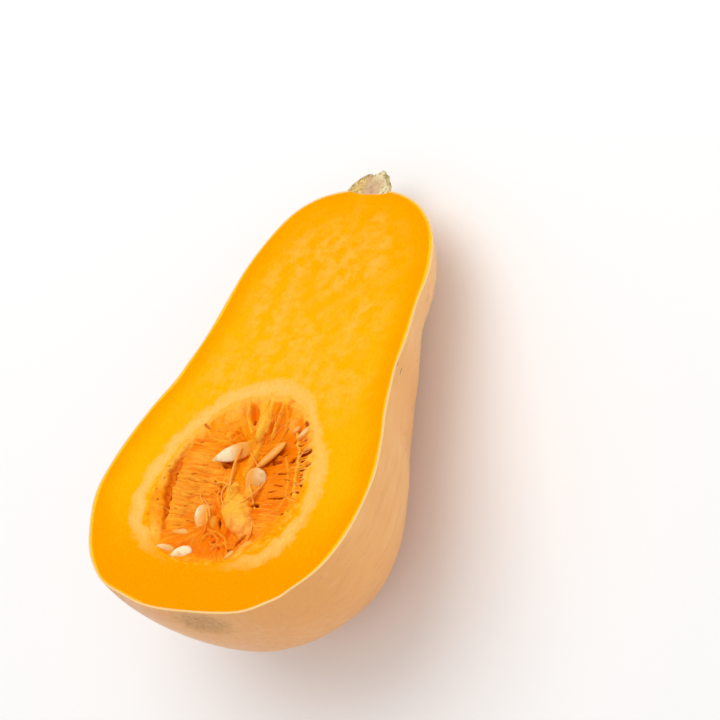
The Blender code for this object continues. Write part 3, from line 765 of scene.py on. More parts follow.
# How much of the salmon and of the deep colour the pulp has in each direction from the middle
PULP_TURN = (
    (-180, 0.0, 0.8), (-150, 0.3, 0.55), (-115, 0.4, 0.45), (-80, 0.05, 0.45), (-40, 0.0, 0.45),
    (-5, 0.0, 0.05), (15, 0.0, 0.0), (40, 0.25, 0.0), (65, 0.9, 0.0), (120, 0.9, 0.0), (150, 0.15, 0.55),
    (180, 0.0, 0.8),
)
PULP_ORANGE = np.array((0.945, 0.25, 0.0))
PULP_SALMON = np.array((0.95, 0.4, 0.034))
# Painted highlight on the tops of the ribs
PULP_LIT_RIDGE = np.array((0.97, 0.405, 0.03))
PULP_PALE = np.array((1.0, 0.555, 0.05))
PULP_LIGHT = np.array((1.0, 0.43, 0.0))
PULP_PINK = np.array((0.985, 0.42, 0.085))
# Deeper orange: the pulp's own in some directions, and painted shade in creases, hollows and the groove
PULP_DEEP = np.array((0.86, 0.155, 0.0))
# Painted shade in the holes and slits
PULP_HOLE_SHADE = np.array((0.43, 0.026, 0.0))
RING_INNER = np.array((0.985, 0.5, 0.06))
RIM_ORANGE = np.array((0.96, 0.275, 0.0))
RIM_YELLOW = np.array((0.985, 0.385, 0.012))


def under(x, y, depth):
    """The point at that depth under the cut which shows at (x, y) of the cut, as rows of X, Y, Z."""
    drift = -np.array(SIGHT) / SIGHT.z
    return np.column_stack([x, y, np.zeros_like(x)]) + np.multiply.outer(depth, drift)


def shows_at(x, y, depth):
    """Where a point at that depth under (x, y) shows on the cut."""
    return x + depth * SIGHT.x / SIGHT.z, y + depth * SIGHT.y / SIGHT.z


def oval(x, y, row):
    """How far points are from the middle of a lobe or hole, 1 at its edge."""
    turn = math.radians(row[4])
    along = (x - row[0]) * math.cos(turn) + (y - row[1]) * math.sin(turn)
    aside = (y - row[1]) * math.cos(turn) - (x - row[0]) * math.sin(turn)
    return np.hypot(along / row[2], aside / row[3])


def noise_rows(points):
    return np.array([noise.noise(point) for point in points])


def noise_at(x, y, size, level):
    """Noise over the face with grains of that size. Another level gives another pattern."""
    return noise_rows(np.column_stack([x / size, y / size, level]))


def along_path(x, y, path):
    """How far points are from a path, and the path's further values beside each."""
    nearest = np.full(np.shape(x), 99.0)
    rows = np.array(path)
    values = np.zeros((len(x), rows.shape[1] - 2))
    for start, end in zip(rows, rows[1:]):
        along = end - start
        share = ((x - start[0]) * along[0] + (y - start[1]) * along[1]) / (along[:2] @ along[:2])
        share = share.clip(0.0, 1.0)
        away = np.hypot(x - start[0] - share * along[0], y - start[1] - share * along[1])
        values = np.where((away < nearest)[:, None], start[2:] + np.multiply.outer(share, along[2:]), values)
        nearest = np.minimum(nearest, away)
    return nearest, values


def rib_run(x, y):
    """Where points lie in the run of the ribs: two values round the spine and one out from it."""
    start, end = np.array(SPINE)
    along = end - start
    share = (((x - start[0]) * along[0] + (y - start[1]) * along[1]) / (along @ along)).clip(0.0, 1.0)
    nearest = start + np.multiply.outer(share, along)
    away = np.column_stack([x, y]) - nearest
    distance = np.hypot(away[:, 0], away[:, 1])
    out = away / np.maximum(distance, 0.001)[:, None]
    return np.column_stack([nearest + SPINE_ROUND * out, distance])


def mix_rows(first, second, share):
    return first + (np.asarray(second) - first) * np.asarray(share)[:, None]


def lay_lobes(shown, crumbly):
    """How far the lobes rise at points of the face, and how pale, deep in colour, smooth and soft they
    make them. The deep colour is mostly painted shade in hollows, and each lobe is edged with painted shade."""
    rise, pale, deep, smooth, soft, lobe_edge_shade = np.zeros((6, len(crumbly)))
    for lobe in LOBES:
        swell = (1.0 - (oval(*shown, lobe) + 0.22 * crumbly) ** 2).clip(0.0, 1.0) ** 1.5
        inner, paleness = smooth_step(0.0, 0.35, swell), lobe[6]
        rise += lobe[5] * swell
        pale = np.maximum(pale, paleness * inner)
        deep = np.maximum(deep, -paleness * smooth_step(0.0, 0.5, swell))
        smooth = np.maximum(smooth, (abs(paleness) > PLAIN_LOBE) * inner)
        soft = np.maximum(soft, (paleness > PLAIN_LOBE) * inner)
        # Painted shade in a thin band round each lobe's edge.
        outline = smooth_step(0.0, 0.02, swell) * smooth_step(0.22, 0.03, swell)
        lobe_edge_shade = np.maximum(lobe_edge_shade, abs(paleness) * outline)
    return rise, pale, deep, smooth, soft, lobe_edge_shade


def sink_holes(shown, pits, crumbly):
    """How deep the holes go at points of the face, and how strongly painted shade darkens them."""
    depth, hole_shade = np.zeros((2, len(pits)))
    for hole in HOLES:
        ragged = oval(*shown, hole) + 0.45 * (pits - 0.25) + 0.25 * crumbly
        sunk = smooth_step(1.15, 0.45, ragged)
        depth += HOLE_SINK * hole[5] * sunk
        hole_shade = np.maximum(hole_shade, min(0.4 + 0.3 * hole[5], 1.0) * smooth_step(0.05, 0.75, sunk))
    return depth, hole_shade


def rim_layer(angle, inside, crumbly, warp):
    """The colour of the bed's rim, patchy and paler beside the ring, and how far it reaches inwards."""
    ring_gap = table_value(RING, angle, 1) - round_value(BOWL_RIM, angle)
    ring_here = smooth_step(0.1, 0.7, table_value(RING, angle, 3)) * smooth_step(2.2, 0.2, ring_gap)
    patchy = smooth_step(-0.25, 0.45, crumbly)
    colour = mix_rows(RIM_ORANGE, RIM_YELLOW, patchy)
    colour = mix_rows(colour, RING_INNER, ring_here * (0.75 + 0.25 * patchy))
    band = 4.5 + 2.2 * smooth_step(70.0, 95.0, angle) * smooth_step(150.0, 130.0, angle)
    return colour, smooth_step(band, 0.3 * band, inside + 3.5 * crumbly + 2.0 * warp)


def pulp_bed(x, y):
    """Depth of the pulp's surface under the cut, its colour, with painted shade and highlights, and its
    place in the run of the ribs.
    """
    angle, radius = from_bowl(x, y)
    inside = round_value(BOWL_RIM, angle) - radius
    warp = noise_at(x, y, WARP_SIZE, np.full_like(x, 3.0))
    crumbly = noise_at(x, y, CRUMB_SIZE, warp + 20.0)
    wavy = 0.8 * warp + 0.35 * crumbly
    run = rib_run(x + wavy, y + wavy)
    broad = np.abs(noise_rows(run / BROAD_RIBS))
    fine = np.abs(noise_rows(run / FINE_RIBS + 5.0))
    curls = np.abs(noise_at(x, y, CURL_SIZE, warp))
    pits = np.abs(noise_at(x, y, PIT_SIZE, warp + 9.0))
    ribbed = smooth_step(0.5, 5.0, inside) * smooth_step(3.0, 10.0, run[:, 2])
    depth = BED_BANK * smooth_step(-0.3, 6.5, inside) + BED_HOLLOW * smooth_step(5.0, 24.0, inside)
    depth += BED_EDGE_DEPTH
    rise, pale, deep, smooth, soft, lobe_edge_shade = lay_lobes(shows_at(x, y, depth), crumbly)
    depth -= rise
    rough = 1.0 - 0.75 * smooth
    shown = shows_at(x, y, depth)
    at_end = np.maximum(smooth_step(86.0, 94.0, shown[0]), smooth_step(42.0, 36.0, shown[0]))
    ribs = BROAD_RISE * (broad - 0.22) + FINE_RISE * (fine - 0.22)
    depth -= rough * ribbed * (1.0 - 0.6 * at_end) * ribs
    depth -= rough * (1.0 - ribbed) * smooth_step(2.0, 5.0, inside) * CURL_RISE * (curls - 0.2)
    depth -= PIT_RISE * rough * (pits - 0.2)
    from_groove, sunk_here = along_path(*shown, GROOVE)
    across_groove = (from_groove + 1.1 * crumbly) / np.maximum(sunk_here[:, 1], 0.5)
    groove = sunk_here[:, 0] * smooth_step(1.15, 0.45, across_groove)
    depth += groove
    # Painted shade in the creases between the ribs and between the curls.
    crease_shade = rough * ribbed * np.maximum(smooth_step(0.11, 0.0, fine), smooth_step(0.1, 0.0, broad))
    curled = smooth_step(0.1, 0.0, curls) * smooth_step(2.0, 6.0, inside)
    crease_shade = np.maximum(crease_shade, rough * (1.0 - ribbed) * curled)
    for width, rise, paleness, path in RIBBONS:
        from_middle = (along_path(*shown, path)[0] / width + 0.16 * crumbly).clip(0.0)
        raised = (1.0 - from_middle**3).clip(0.0, 1.0) * smooth_step(1.1, 0.6, from_middle)
        depth -= rise * raised * (0.85 + 0.5 * (fine - 0.2)) * smooth_step(-0.2, 1.5, inside)
        pale = np.maximum(pale * (1.0 - raised), paleness * smooth_step(0.0, 0.5, raised))
        deep *= 1.0 - smooth_step(0.0, 0.5, raised)
        crease_shade *= 1.0 - 0.9 * smooth_step(0.1, 0.6, raised)
    sunk, hole_shade = sink_holes(shown, pits, crumbly)
    depth += sunk
    salmon = round_value(PULP_TURN, angle) * smooth_step(3.0, 10.0, inside)
    deeper = round_value(PULP_TURN, angle, 2) * smooth_step(4.0, 9.0, radius)
    light = (0.5 + 1.4 * warp + 0.7 * (fine - 0.2)).clip(0.0, 1.0)
    # Painted highlight: the rib tops are lighter.
    ridge = rough * ribbed * smooth_step(0.18, 0.45, 0.6 * broad + 0.4 * fine)
    veined = (pale * (0.85 + 0.4 * crumbly + 0.5 * (fine - 0.2))).clip(0.0, 1.0)
    pinkish = soft * smooth_step(54.0, 40.0, shown[0]) * smooth_step(2.0, -8.0, shown[1] - 0.5 * crumbly)
    pinkish = np.maximum(pinkish, soft * smooth_step(-0.05, 0.35, crumbly - 0.25 * warp) * 0.6)
    colour = PULP_ORANGE
    for layer, share in (
        (PULP_SALMON, salmon * (0.6 + 0.4 * light)),
        (PULP_DEEP, deeper * (1.15 - 0.5 * light)),
        # Painted highlight on the rib tops
        (PULP_LIT_RIDGE, (0.25 + 0.55 * salmon) * ridge),
        # Painted shade, mostly: the hollows of the lobes are deeper in colour.
        (PULP_DEEP, 0.75 * deep),
        (PULP_PALE, veined),
        (PULP_PINK, 0.8 * pinkish),
        (PULP_LIGHT, 0.3 * light * (1.0 - salmon) * (1.0 - deep) * (1.0 - deeper)),
        # Painted shade in the creases
        (PULP_DEEP, (0.7 - 0.2 * salmon) * crease_shade),
        # Painted shade round the edges of the lobes
        (PULP_DEEP * 0.8, 0.45 * lobe_edge_shade * (1.0 - 0.6 * crumbly)),
        rim_layer(angle, inside, crumbly, warp),
        # Painted shade in the groove
        (PULP_DEEP * 0.85, 0.85 * smooth_step(0.3, 1.6, groove)),
        # Painted shade in the holes and slits
        (PULP_HOLE_SHADE, hole_shade),
    ):
        colour = mix_rows(colour, layer, share)
    return np.maximum(depth, BED_SHALLOWEST), colour, run


def pulp_surface(name, glow):
    """Wet orange pulp in the colours kept on its points, with fine fibres along its ribs."""
    look = Surface(
        name,
        Subsurface_Weight=glow,
        Subsurface_Radius=(0.001, 0.0005, 0.0002),
        Specular_IOR_Level=0.02,
        Coat_Weight=0.04,
        Coat_Roughness=0.1,
    )
    grain = look.noise(1.8, detail=4.0, roughness=0.6)
    fibres = look.noise(0.55, roughness=0.55, stretch=(1.0, 1.0, 11.0), place=look.kept("run", "Vector"))
    colour = look.layered(
        look.kept("tint", "Color"),
        (look.range(fibres, 0.5, 0.7, 0.0, 0.32), (1.0, 0.44, 0.004)),
        (look.range(fibres, 0.48, 0.3, 0.0, 0.32), (0.86, 0.16, 0.0)),
        (look.range(grain, 0.46, 0.3, 0.0, 0.18), (0.86, 0.18, 0.0)),
    )
    wet = look.range(look.noise(5.0, detail=2.0), 0.4, 0.62, 0.22, 0.48)
    fine = look.noise(0.6, roughness=0.6)
    return look.finish((fibres, 0.22), (grain, 0.12), (fine, 0.06), Base_Color=colour, Roughness=wet)


def pulp_layers(shape):
    layers = shape.verts.layers
    return layers.float_color.new("tint"), layers.float_vector.new("run")


def keep_on(vertices, layers, colours, run):
    """Keeps, on every point, its colour and its place in the run of the ribs."""
    tint, run_layer = layers
    for vertex, colour, in_run in zip(vertices, colours, run):
        vertex[tint] = (*colour, 1.0)
        vertex[run_layer] = in_run


def build_pulp():
    """Bends a flat grid into the bed: its first rows cross the face, the rest run down the bowl."""
    bed = bmesh.new()
    rows = BED_ROWS + BED_UNDER_ROWS
    bmesh.ops.create_grid(bed, x_segments=BED_ROUND, y_segments=rows, size=1.0)
    bed.verts.ensure_lookup_table()
    flat = np.array([vertex.co for vertex in bed.verts])
    turn = math.pi * flat[:, 0]
    row = (flat[:, 1] + 1.0) / 2.0 * rows
    rim = round_value(BOWL_RIM, np.degrees(turn).clip(-180.0, 180.0)) + BED_OVERLAP
    over = row <= BED_ROWS
    down = 0.5 * math.pi * (row - BED_ROWS) / BED_UNDER_ROWS
    reach = np.where(over, rim * (row / BED_ROWS) ** 0.85, rim * np.cos(down.clip(0.0)))
    x = BOWL_CENTRE[0] + reach * np.cos(turn)
    y = BOWL_CENTRE[1] + reach * np.sin(turn)
    depth, colours, run = pulp_bed(x, y)
    drop = BOWL_DEPTH - BED_SIDE_START - BED_OFF_BOTTOM
    edge_depth = np.where(over, depth, BED_SIDE_START + drop * np.sin(down.clip(0.0)))
    for vertex, place in zip(bed.verts, np.column_stack([x, y, -edge_depth])):
        vertex.co = place
    keep_on(bed.verts, pulp_layers(bed), colours, run)
    bmesh.ops.remove_doubles(bed, verts=bed.verts, dist=2.0 * SAME_PLACE)
    return lay_down("pulp_bed", bed, wet_pulp, sharp=180.0)


wet_pulp = pulp_surface("wet_orange_pulp", 0.3)
pulp = build_pulp()
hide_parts("seed_pulp")

# The strands: threads of the pulp that lie over its bed and cross it, some as thick as a
# match. They are soft and wet, and each one tapers and sinks into the bed at both ends.

# Strands in plain sight, as (thickest radius, paleness, points as (x, y, height over the bed))
STRANDS = (
    (0.7, 0.45, (
        (83.0, 1.0, 0.4), (80.0, 2.6, 3.0), (74.4, 3.0, 3.0), (68.7, 2.4, 1.8), (63.1, 1.2, 1.0),
        (56.0, -0.6, -0.5),
    )),
    (0.45, 0.45, (
        (62.8, 12.0, -0.4), (61.4, 8.7, 0.4), (62.3, 5.5, 0.6), (60.6, 0.5, 0.6), (57.0, -2.5, -0.3),
    )),
    (0.45, 0.5, (
        (50.6, -1.6, -0.3), (54.0, 2.0, 0.6), (58.4, 3.2, 0.7), (61.5, 1.4, 0.3), (63.0, -1.0, -0.4),
    )),
    (0.6, 0.15, (
        (56.5, 14.5, -0.4), (53.2, 12.2, 0.9), (49.7, 8.0, 2.4), (45.5, 5.4, 2.6), (41.2, 4.1, 1.6),
        (36.5, 3.4, -0.3),
    )),
    (0.45, 0.35, (
        (54.5, 12.8, -0.2), (53.0, 10.6, 1.2), (50.0, 6.6, 2.2), (46.7, 4.7, 1.6), (43.0, 2.6, -0.3),
    )),
    (0.4, 0.35, (
        (80.0, 1.5, -0.4), (77.0, -3.4, 0.5), (72.0, -8.4, 0.4), (66.0, -13.0, 2.0), (59.0, -14.5, 1.0),
        (52.0, -12.0, -0.4),
    )),
    (0.5, 0.45, (
        (66.0, -7.0, -0.4), (62.0, -9.0, 2.2), (58.0, -12.0, 2.0), (53.0, -15.0, 0.3), (49.0, -18.0, -0.5),
    )),
    (0.4, 0.45, ((66.0, -17.0, -0.4), (61.0, -15.5, 1.6), (56.5, -12.0, 1.6), (52.5, -8.0, -0.3))),
    (0.35, 0.3, ((45.0, -18.0, -0.2), (39.0, -20.0, 0.4), (33.0, -19.0, 0.3), (29.0, -16.0, -0.3))),
)
# Bundles of threads, as (count, radius, paleness, first and last start, first and last end)
BUNDLES = (
    (12, 0.24, 0.1, (70.0, 29.0), (40.0, 24.0), (68.0, 8.0), (44.0, 13.5)),
    (10, 0.26, 0.2, (84.0, 33.5), (40.0, 31.0), (80.0, 28.5), (39.0, 25.5)),
    (12, 0.26, 0.3, (105.0, 2.0), (101.0, -19.0), (80.0, -4.0), (80.0, -15.0)),
    (14, 0.26, 0.1, (80.0, -25.0), (50.0, -28.0), (74.0, -16.0), (48.0, -18.0)),
    (18, 0.26, 0.7, (92.0, -31.0), (54.0, -40.0), (84.0, -24.0), (55.0, -31.0)),
    (12, 0.26, 0.2, (52.0, -36.0), (32.0, -21.0), (50.0, -24.0), (37.0, -16.5)),
    (10, 0.24, 0.1, (40.0, 27.0), (25.0, 8.0), (45.0, 16.0), (36.0, 4.0)),
)
THREAD_PALE = np.array((1.0, 0.56, 0.12))
STRAND_SEED = 41
STRAND_STEP = 1.1
# How far a bundle's threads start and end from their even places, and how far they wander
START_SPREAD, END_SPREAD, WANDER = 1.5, 2.5, 0.06
THREAD_POINTS = 6
SHALLOWEST_THREAD = 0.25


def curve_through(points, step):
    """Points about step apart along a smooth curve through the given ones."""
    rows = np.array([2.0 * np.array(points[0]) - points[1], *points, 2.0 * np.array(points[-1]) - points[-2]])
    lengths = np.linalg.norm(np.diff(rows[1:-1, :2], axis=0), axis=1)
    return smooth_curve(rows, np.maximum(2, np.round(lengths / step)).astype(int))


def on_bed(x, y, height):
    """The points over the bed, by that height, which show at (x, y) of the cut."""
    depth = np.full(len(x), 2.5)
    for _ in range(5):
        place = under(x, y, depth)
        depth = 0.4 * depth + 0.6 * pulp_bed(place[:, 0], place[:, 1])[0]
    return under(x, y, np.maximum(depth - height, SHALLOWEST_THREAD))


def bundle_paths(draw):
    """Threads side by side from one line to another, each with a wander of its own."""
    for count, radius, pale, first_start, last_start, first_end, last_end in BUNDLES:
        for number in range(count):
            share = (number + draw.uniform(0.1, 0.9)) / count
            start = np.array(first_start) * (1.0 - share) + np.array(last_start) * share
            end = np.array(first_end) * (1.0 - share) + np.array(last_end) * share
            start += draw.uniform(-START_SPREAD, START_SPREAD), draw.uniform(-START_SPREAD, START_SPREAD)
            end += draw.uniform(-END_SPREAD, END_SPREAD), draw.uniform(-END_SPREAD, END_SPREAD)
            aside = np.array((start[1] - end[1], end[0] - start[0])) * WANDER
            points = []
            for place in np.linspace(0.0, 1.0, THREAD_POINTS):
                wander = aside * draw.uniform(-1.0, 1.0)
                rise = -0.6 + draw.uniform(0.35, 0.6) * math.sin(math.pi * place)
                points.append((*(start + (end - start) * place + wander), rise))
            yield radius * draw.uniform(0.6, 1.25), (pale + draw.uniform(-0.12, 0.15)), points


def thread_curve(radius, path):
    """A round thread along the path, thickest in its middle third."""
    curve = bpy.data.curves.new("thread", "CURVE")
    curve.dimensions = "3D"
    curve.bevel_depth = radius
    curve.bevel_resolution = 1
    curve.use_fill_caps = True
    spline = curve.splines.new("POLY")
    spline.points.add(len(path) - 1)
    share = np.linspace(0.0, 1.0, len(path))
    widths = 0.35 + 0.65 * np.sin(math.pi * share) ** 0.6
    for point, place, width in zip(spline.points, path, widths):
        point.co = (*place, 1.0)
        point.radius = width
    return curve


def build_strands():
    draw = random.Random(STRAND_SEED)
    strands = bmesh.new()
    layers = pulp_layers(strands)
    for radius, pale, points in (*STRANDS, *bundle_paths(draw)):
        track = curve_through(points, STRAND_STEP)
        path = on_bed(track[:, 0], track[:, 1], track[:, 2] + 0.4 * radius)
        curve = thread_curve(radius, path)
        holder = bpy.data.objects.new("thread", curve)
        fresh = take_in(strands, bpy.data.meshes.new_from_object(holder))
        near = np.array([vertex.co for vertex in fresh])
        _, under_it, run = pulp_bed(near[:, 0], near[:, 1])
        paleness = np.full(len(near), min(max(pale, 0.0), 1.0))
        keep_on(fresh, layers, mix_rows(np.maximum(under_it, PULP_ORANGE), THREAD_PALE, paleness), run)
        bpy.data.objects.remove(holder)
        bpy.data.curves.remove(curve)
    bmesh.ops.remove_doubles(strands, verts=strands.verts, dist=SAME_PLACE)
    return lay_down("pulp_strands", strands, thin_pulp, sharp=180.0)


# So thin a thread keeps little of the light that enters it
thin_pulp = pulp_surface("wet_orange_threads", 0.05)
build_strands()

# The seeds: flat cream pips with a rim and a pointed end, hanging in the pulp. Some are bare and
# shine, and some still have the orange skin round them that ties them to the strands.

# Each seed as (tip x, y, depth, round end x, y, depth, width, roll in degrees) and how much orange skin it
# has: in the middle, more towards its tip, more towards its left side seen from its round end
SEEDS = (
    (73.3, 14.8, 0.9, 80.6, -3.2, 4.6, 6.8, 8, 0.3, -1.6, 0.1),
    (69.9, -9.2, 2.4, 83.5, -18.5, 1.2, 6.2, 74, 0.55, 0.1, 0.0),
    (56.8, -11.0, 4.4, 70.0, -11.4, 1.3, 8.2, 0, 0.5, 0.7, -0.45),
    (39.1, 7.6, 3.8, 51.0, 7.2, 2.4, 7.6, 14, 0.78, 0.0, 1.8),
    (25.7, 15.7, 1.3, 28.7, 5.6, 2.4, 5.4, 12, 0.09, 0.1, 0.0),
    (29.4, 26.1, 1.1, 27.0, 13.0, 3.2, 5.4, -25, 0.4, -0.2, 0.3),
    (37.2, 19.6, 1.9, 37.2, 8.0, 4.8, 4.6, 72, 0.45, 0.2, 0.0),
    (84.9, -24.0, 0.9, 91.6, -28.4, 1.5, 3.0, 58, 0.4, 0.0, 0.0),
    (87.6, -20.8, 1.2, 91.2, -22.8, 1.8, 1.9, 40, 0.5, 0.0, 0.0),
    (25.3, -12.6, 0.8, 29.6, -16.0, 1.2, 2.6, 55, 0.55, 0.0, 0.0),
)
SEED_THICKNESS = 2.9
SEED_EDGE_SKIN = 0.17
SEED_ROUND = 48
SEED_ROWS = 30


def shape_seed(ball):
    """Presses a unit ball into a seed 1 long and 1 wide: pointed at +X, with a rim round its flat sides."""
    for vertex in ball.verts:
        x, y, z = vertex.co
        reach = min(math.hypot(x, y), 1.0)
        narrow = 1.0 - 0.3 * x - 0.34 * max(x - 0.35, 0.0) ** 1.2
        rim = 0.22 * math.exp(-(((reach - 0.86) / 0.07) ** 2))
        dome = 1.0 - 0.45 * reach**2.4
        side = math.copysign(1.0, z) if abs(z) > 0.001 else 0.0
        edge = min(math.sqrt(max(1.0 - reach**6, 0.0)), 1.0)
        tip = 0.02 * max(x, 0.0) ** 4
        vertex.co = (0.5 * x + tip, 0.5 * y * narrow, 0.5 * side * edge * (dome * 0.82 + rim))


def seed_surface():
    """Smooth cream seed coat with a gloss, orange where the skin still covers it."""
    look = Surface(
        "cream_seed_coat",
        Subsurface_Weight=0.3,
        Subsurface_Radius=(0.001, 0.0007, 0.0003),
        Specular_IOR_Level=0.2,
        Coat_Weight=0.25,
        Coat_Roughness=0.12,
        Roughness=0.34,
    )
    clouds = look.noise(4.5, detail=4.0, roughness=0.55)
    cream = look.ramp(clouds, (0.38, 0.82, 0.52, 0.18), (0.52, 0.92, 0.77, 0.48))
    skin = look.ragged(look.kept("skin"), look.centred(clouds), 0.9)
    colour = look.layered(cream, (look.range(skin, 0.15, 0.6, 0.0, 0.92), (0.88, 0.36, 0.02)))
    return look.finish((clouds, 0.2), (look.noise(0.8), 0.06), Base_Color=colour)


def build_seeds():
    seeds = bmesh.new()
    skin_layer = seeds.verts.layers.float.new("skin")
    for row in SEEDS:
        tip, end = (Vector(place) for place in under(*np.array((row[:3], row[3:6])).T))
        width, roll, skin, tip_skin, side_skin = row[6:]
        middle, length = (tip + end) / 2.0, (tip - end).length
        long_axis = (tip - end).normalized()
        flat_side = (SIGHT - long_axis * SIGHT.dot(long_axis)).normalized()
        flat_side = Matrix.Rotation(math.radians(roll), 3, long_axis) @ flat_side
        turn = Matrix((long_axis, flat_side.cross(long_axis), flat_side)).transposed()
        ball = bmesh.new()
        bmesh.ops.create_uvsphere(ball, u_segments=SEED_ROUND, v_segments=SEED_ROWS, radius=1.0)
        shape_seed(ball)
        ball.transform(Matrix.LocRotScale(middle, turn, (length, width, SEED_THICKNESS)))
        for vertex in take_in(seeds, mesh_of("seed", ball)):
            from_middle = turn.inverted() @ (vertex.co - middle)
            to_tip, to_side = from_middle.x / length, from_middle.y / width
            at_edge = 4.0 * (to_tip**2 + to_side**2)
            vertex[skin_layer] = skin + tip_skin * to_tip + side_skin * to_side + SEED_EDGE_SKIN * at_edge**2
    return lay_down("seeds", seeds, seed_surface(), sharp=180.0)


build_seeds()

# The stem: the dry, corky stub that the squash hung from. It flares at its foot, has rough ridges
# and a torn top, and was split by the same cut, which shows its pinkish inside. It grew out of the flesh.

# The cut stem's middle and half width, as (share of the height, Y, half width)
STEM_WIDTHS = (
    (0.0, -6.0, 11.3), (0.2, -5.8, 10.5), (0.4, -5.6, 9.5), (0.6, -5.6, 8.3), (0.78, -5.9, 6.7),
    (0.9, -6.3, 5.4), (1.0, -6.7, 4.7),
)
# Where the stem starts and ends along X, as (place across it, from -1 at its -Y side, start, end)
STEM_ENDS = (
    (-1.0, 215.2, 226.0), (-0.82, 213.9, 226.7), (-0.6, 213.6, 226.9), (-0.35, 213.6, 226.2),
    (0.0, 213.8, 224.9), (0.35, 214.0, 224.2), (0.6, 214.9, 225.0), (0.85, 215.8, 225.3),
    (1.0, 216.0, 224.6),
)
STEM_DEPTH = 1.25
STEM_PROUD = 0.05
STEM_BARK = 0.9
STEM_RIDGES = 9
STEM_ROUND = 190
STEM_ROWS = 60
STEM_CLOSING_ROWS = 6
STEM_HOLLOW = 1.6
STEM_FOOT_SINK = 3.0
STEM_RIDGE, STEM_SWELLING, STEM_CRACK = 0.07, 0.1, 0.05


def stem_surface():
    """Dry cork: greenish grey and ochre outside, pinkish tan and smooth on the cut."""
    look = Surface("dry_cork_stem", Roughness=0.85, Specular_IOR_Level=0.25)
    along, across, _ = look.axes()
    crust = look.noise(2.4, detail=6.0, roughness=0.68, stretch=(1.8, 1.0, 1.0))
    outside = look.ramp(
        crust,
        (0.34, 0.15, 0.095, 0.028),
        (0.44, 0.48, 0.36, 0.14),
        (0.54, 0.76, 0.62, 0.33),
        (0.68, 0.86, 0.78, 0.56),
    )
    moss = look.range(look.noise(4.5, detail=2.0, shift=7.0), 0.5, 0.66, 0.0, 0.45)
    cells = look.noise(3.0, detail=5.0, roughness=0.65, stretch=(1.6, 1.0, 1.0), shift=2.0)
    pith = look.ramp(cells, (0.34, 0.48, 0.27, 0.16), (0.52, 0.68, 0.44, 0.25), (0.68, 0.76, 0.54, 0.31))
    crumbs = look.noise(1.5, detail=5.0, roughness=0.7, shift=5.0)
    ochre = look.ramp(crumbs, (0.36, 0.42, 0.23, 0.04), (0.5, 0.74, 0.5, 0.16), (0.64, 0.88, 0.72, 0.4))
    cream = look.ramp(crumbs, (0.36, 0.33, 0.24, 0.08), (0.48, 0.8, 0.64, 0.33), (0.64, 0.92, 0.82, 0.58))
    wavy = look.ragged(across, cells, 7.0)
    torn = look.times(look.range(along, 219.0, 223.0), look.range(wavy, -1.0, -4.0))
    inner = look.layered(
        pith,
        (look.range(wavy, -1.2, 1.8), ochre),
        (look.math("MAXIMUM", look.range(wavy, -7.0, -9.5), torn), cream),
        (look.range(look.ragged(along, crumbs, 1.2), 215.2, 214.2), (0.95, 0.52, 0.17)),
    )
    on_cut = look.range(look.ragged(look.kept("pith"), look.centred(crumbs), 0.9), 0.35, 0.65)
    colour = look.layered(outside, (moss, (0.47, 0.44, 0.19)), (on_cut, inner))
    return look.finish((crust, 0.8), (crumbs, 0.5), (look.noise(0.6), 0.12), Base_Color=colour)


def stem_place(row, turn):
    """A point of the half stem: turn 0 to 1 goes round its bark, 1 to 2 goes back across the cut."""
    share = min(max(row / STEM_ROWS, 0.0), 1.0)
    round_turn = math.pi * min(turn, 1.0)
    across = -math.cos(round_turn) if turn <= 1.0 else 1.0 - 2.0 * (turn - 1.0)
    middle, half_wide = (float(table_value(STEM_WIDTHS, share, column)) for column in (1, 2))
    start, end = (float(table_value(STEM_ENDS, across, column)) for column in (1, 2))
    bulge = math.sin(round_turn)
    flow = noise.noise(Vector((5.0 * across, 3.0 * bulge, 1.4 * share)))
    crack = noise.noise(Vector((14.0 * across, 9.0 * bulge, 4.0 * share + 5.0)))
    ridge = math.cos(STEM_RIDGES * round_turn + 1.1 * share)
    uneven = bulge * (STEM_RIDGE * ridge + STEM_SWELLING * flow) + STEM_CRACK * crack + 0.04 * flow
    half = half_wide * (1.0 + uneven)
    torn = noise.noise(Vector((9.0 * across, 4.0 * bulge, 11.0))) * 0.9 + crack * 0.5
    x = start + (end - start + torn) * share
    place = Vector((x, middle + half * across, STEM_PROUD - STEM_DEPTH * half * bulge))
    closing = max(row / STEM_ROWS - 1.0, -row / STEM_ROWS, 0.0) * STEM_ROWS / STEM_CLOSING_ROWS
    heart_x = float(np.mean([ends[2 if row > 0 else 1] for ends in STEM_ENDS]))
    place = place.lerp(Vector((heart_x, middle, -0.45 * STEM_DEPTH * half_wide)), closing)
    place.x += -STEM_HOLLOW * closing if row > 0 else -STEM_FOOT_SINK * closing
    edge = (1.0 - abs(across)) * half if turn > 1.0 else 0.0
    on_cut = float(smooth_step(0.4 * STEM_BARK, 1.6 * STEM_BARK, edge)) * (closing == 0.0)
    return place, on_cut * float(smooth_step(1.0, 0.93, share))


def build_stem():
    """Bends a flat grid into the split stem: its rows run up it, and its last ones close both ends."""
    stem = bmesh.new()
    rows = STEM_ROWS + 2 * STEM_CLOSING_ROWS
    bmesh.ops.create_grid(stem, x_segments=STEM_ROUND, y_segments=rows, size=1.0)
    pith = stem.verts.layers.float.new("pith")
    for vertex in stem.verts:
        row = (vertex.co.y + 1.0) / 2.0 * rows - STEM_CLOSING_ROWS
        vertex.co, vertex[pith] = stem_place(row, vertex.co.x + 1.0)
    bmesh.ops.remove_doubles(stem, verts=stem.verts, dist=SAME_PLACE)
    return lay_down("stem_stub", stem, stem_surface(), sharp=50.0)


stem_stub = build_stem()
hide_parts("stem")

# The table and the light, plain as in a studio: a pale floor, one large soft light high on the
# left of the picture, a weaker one on the right, and a dim white room round them.

FLOOR_COLOUR = (0.93, 0.93, 0.935, 1.0)
FLOOR_SIZE = 6.0
FLOOR_GAP = 0.0002
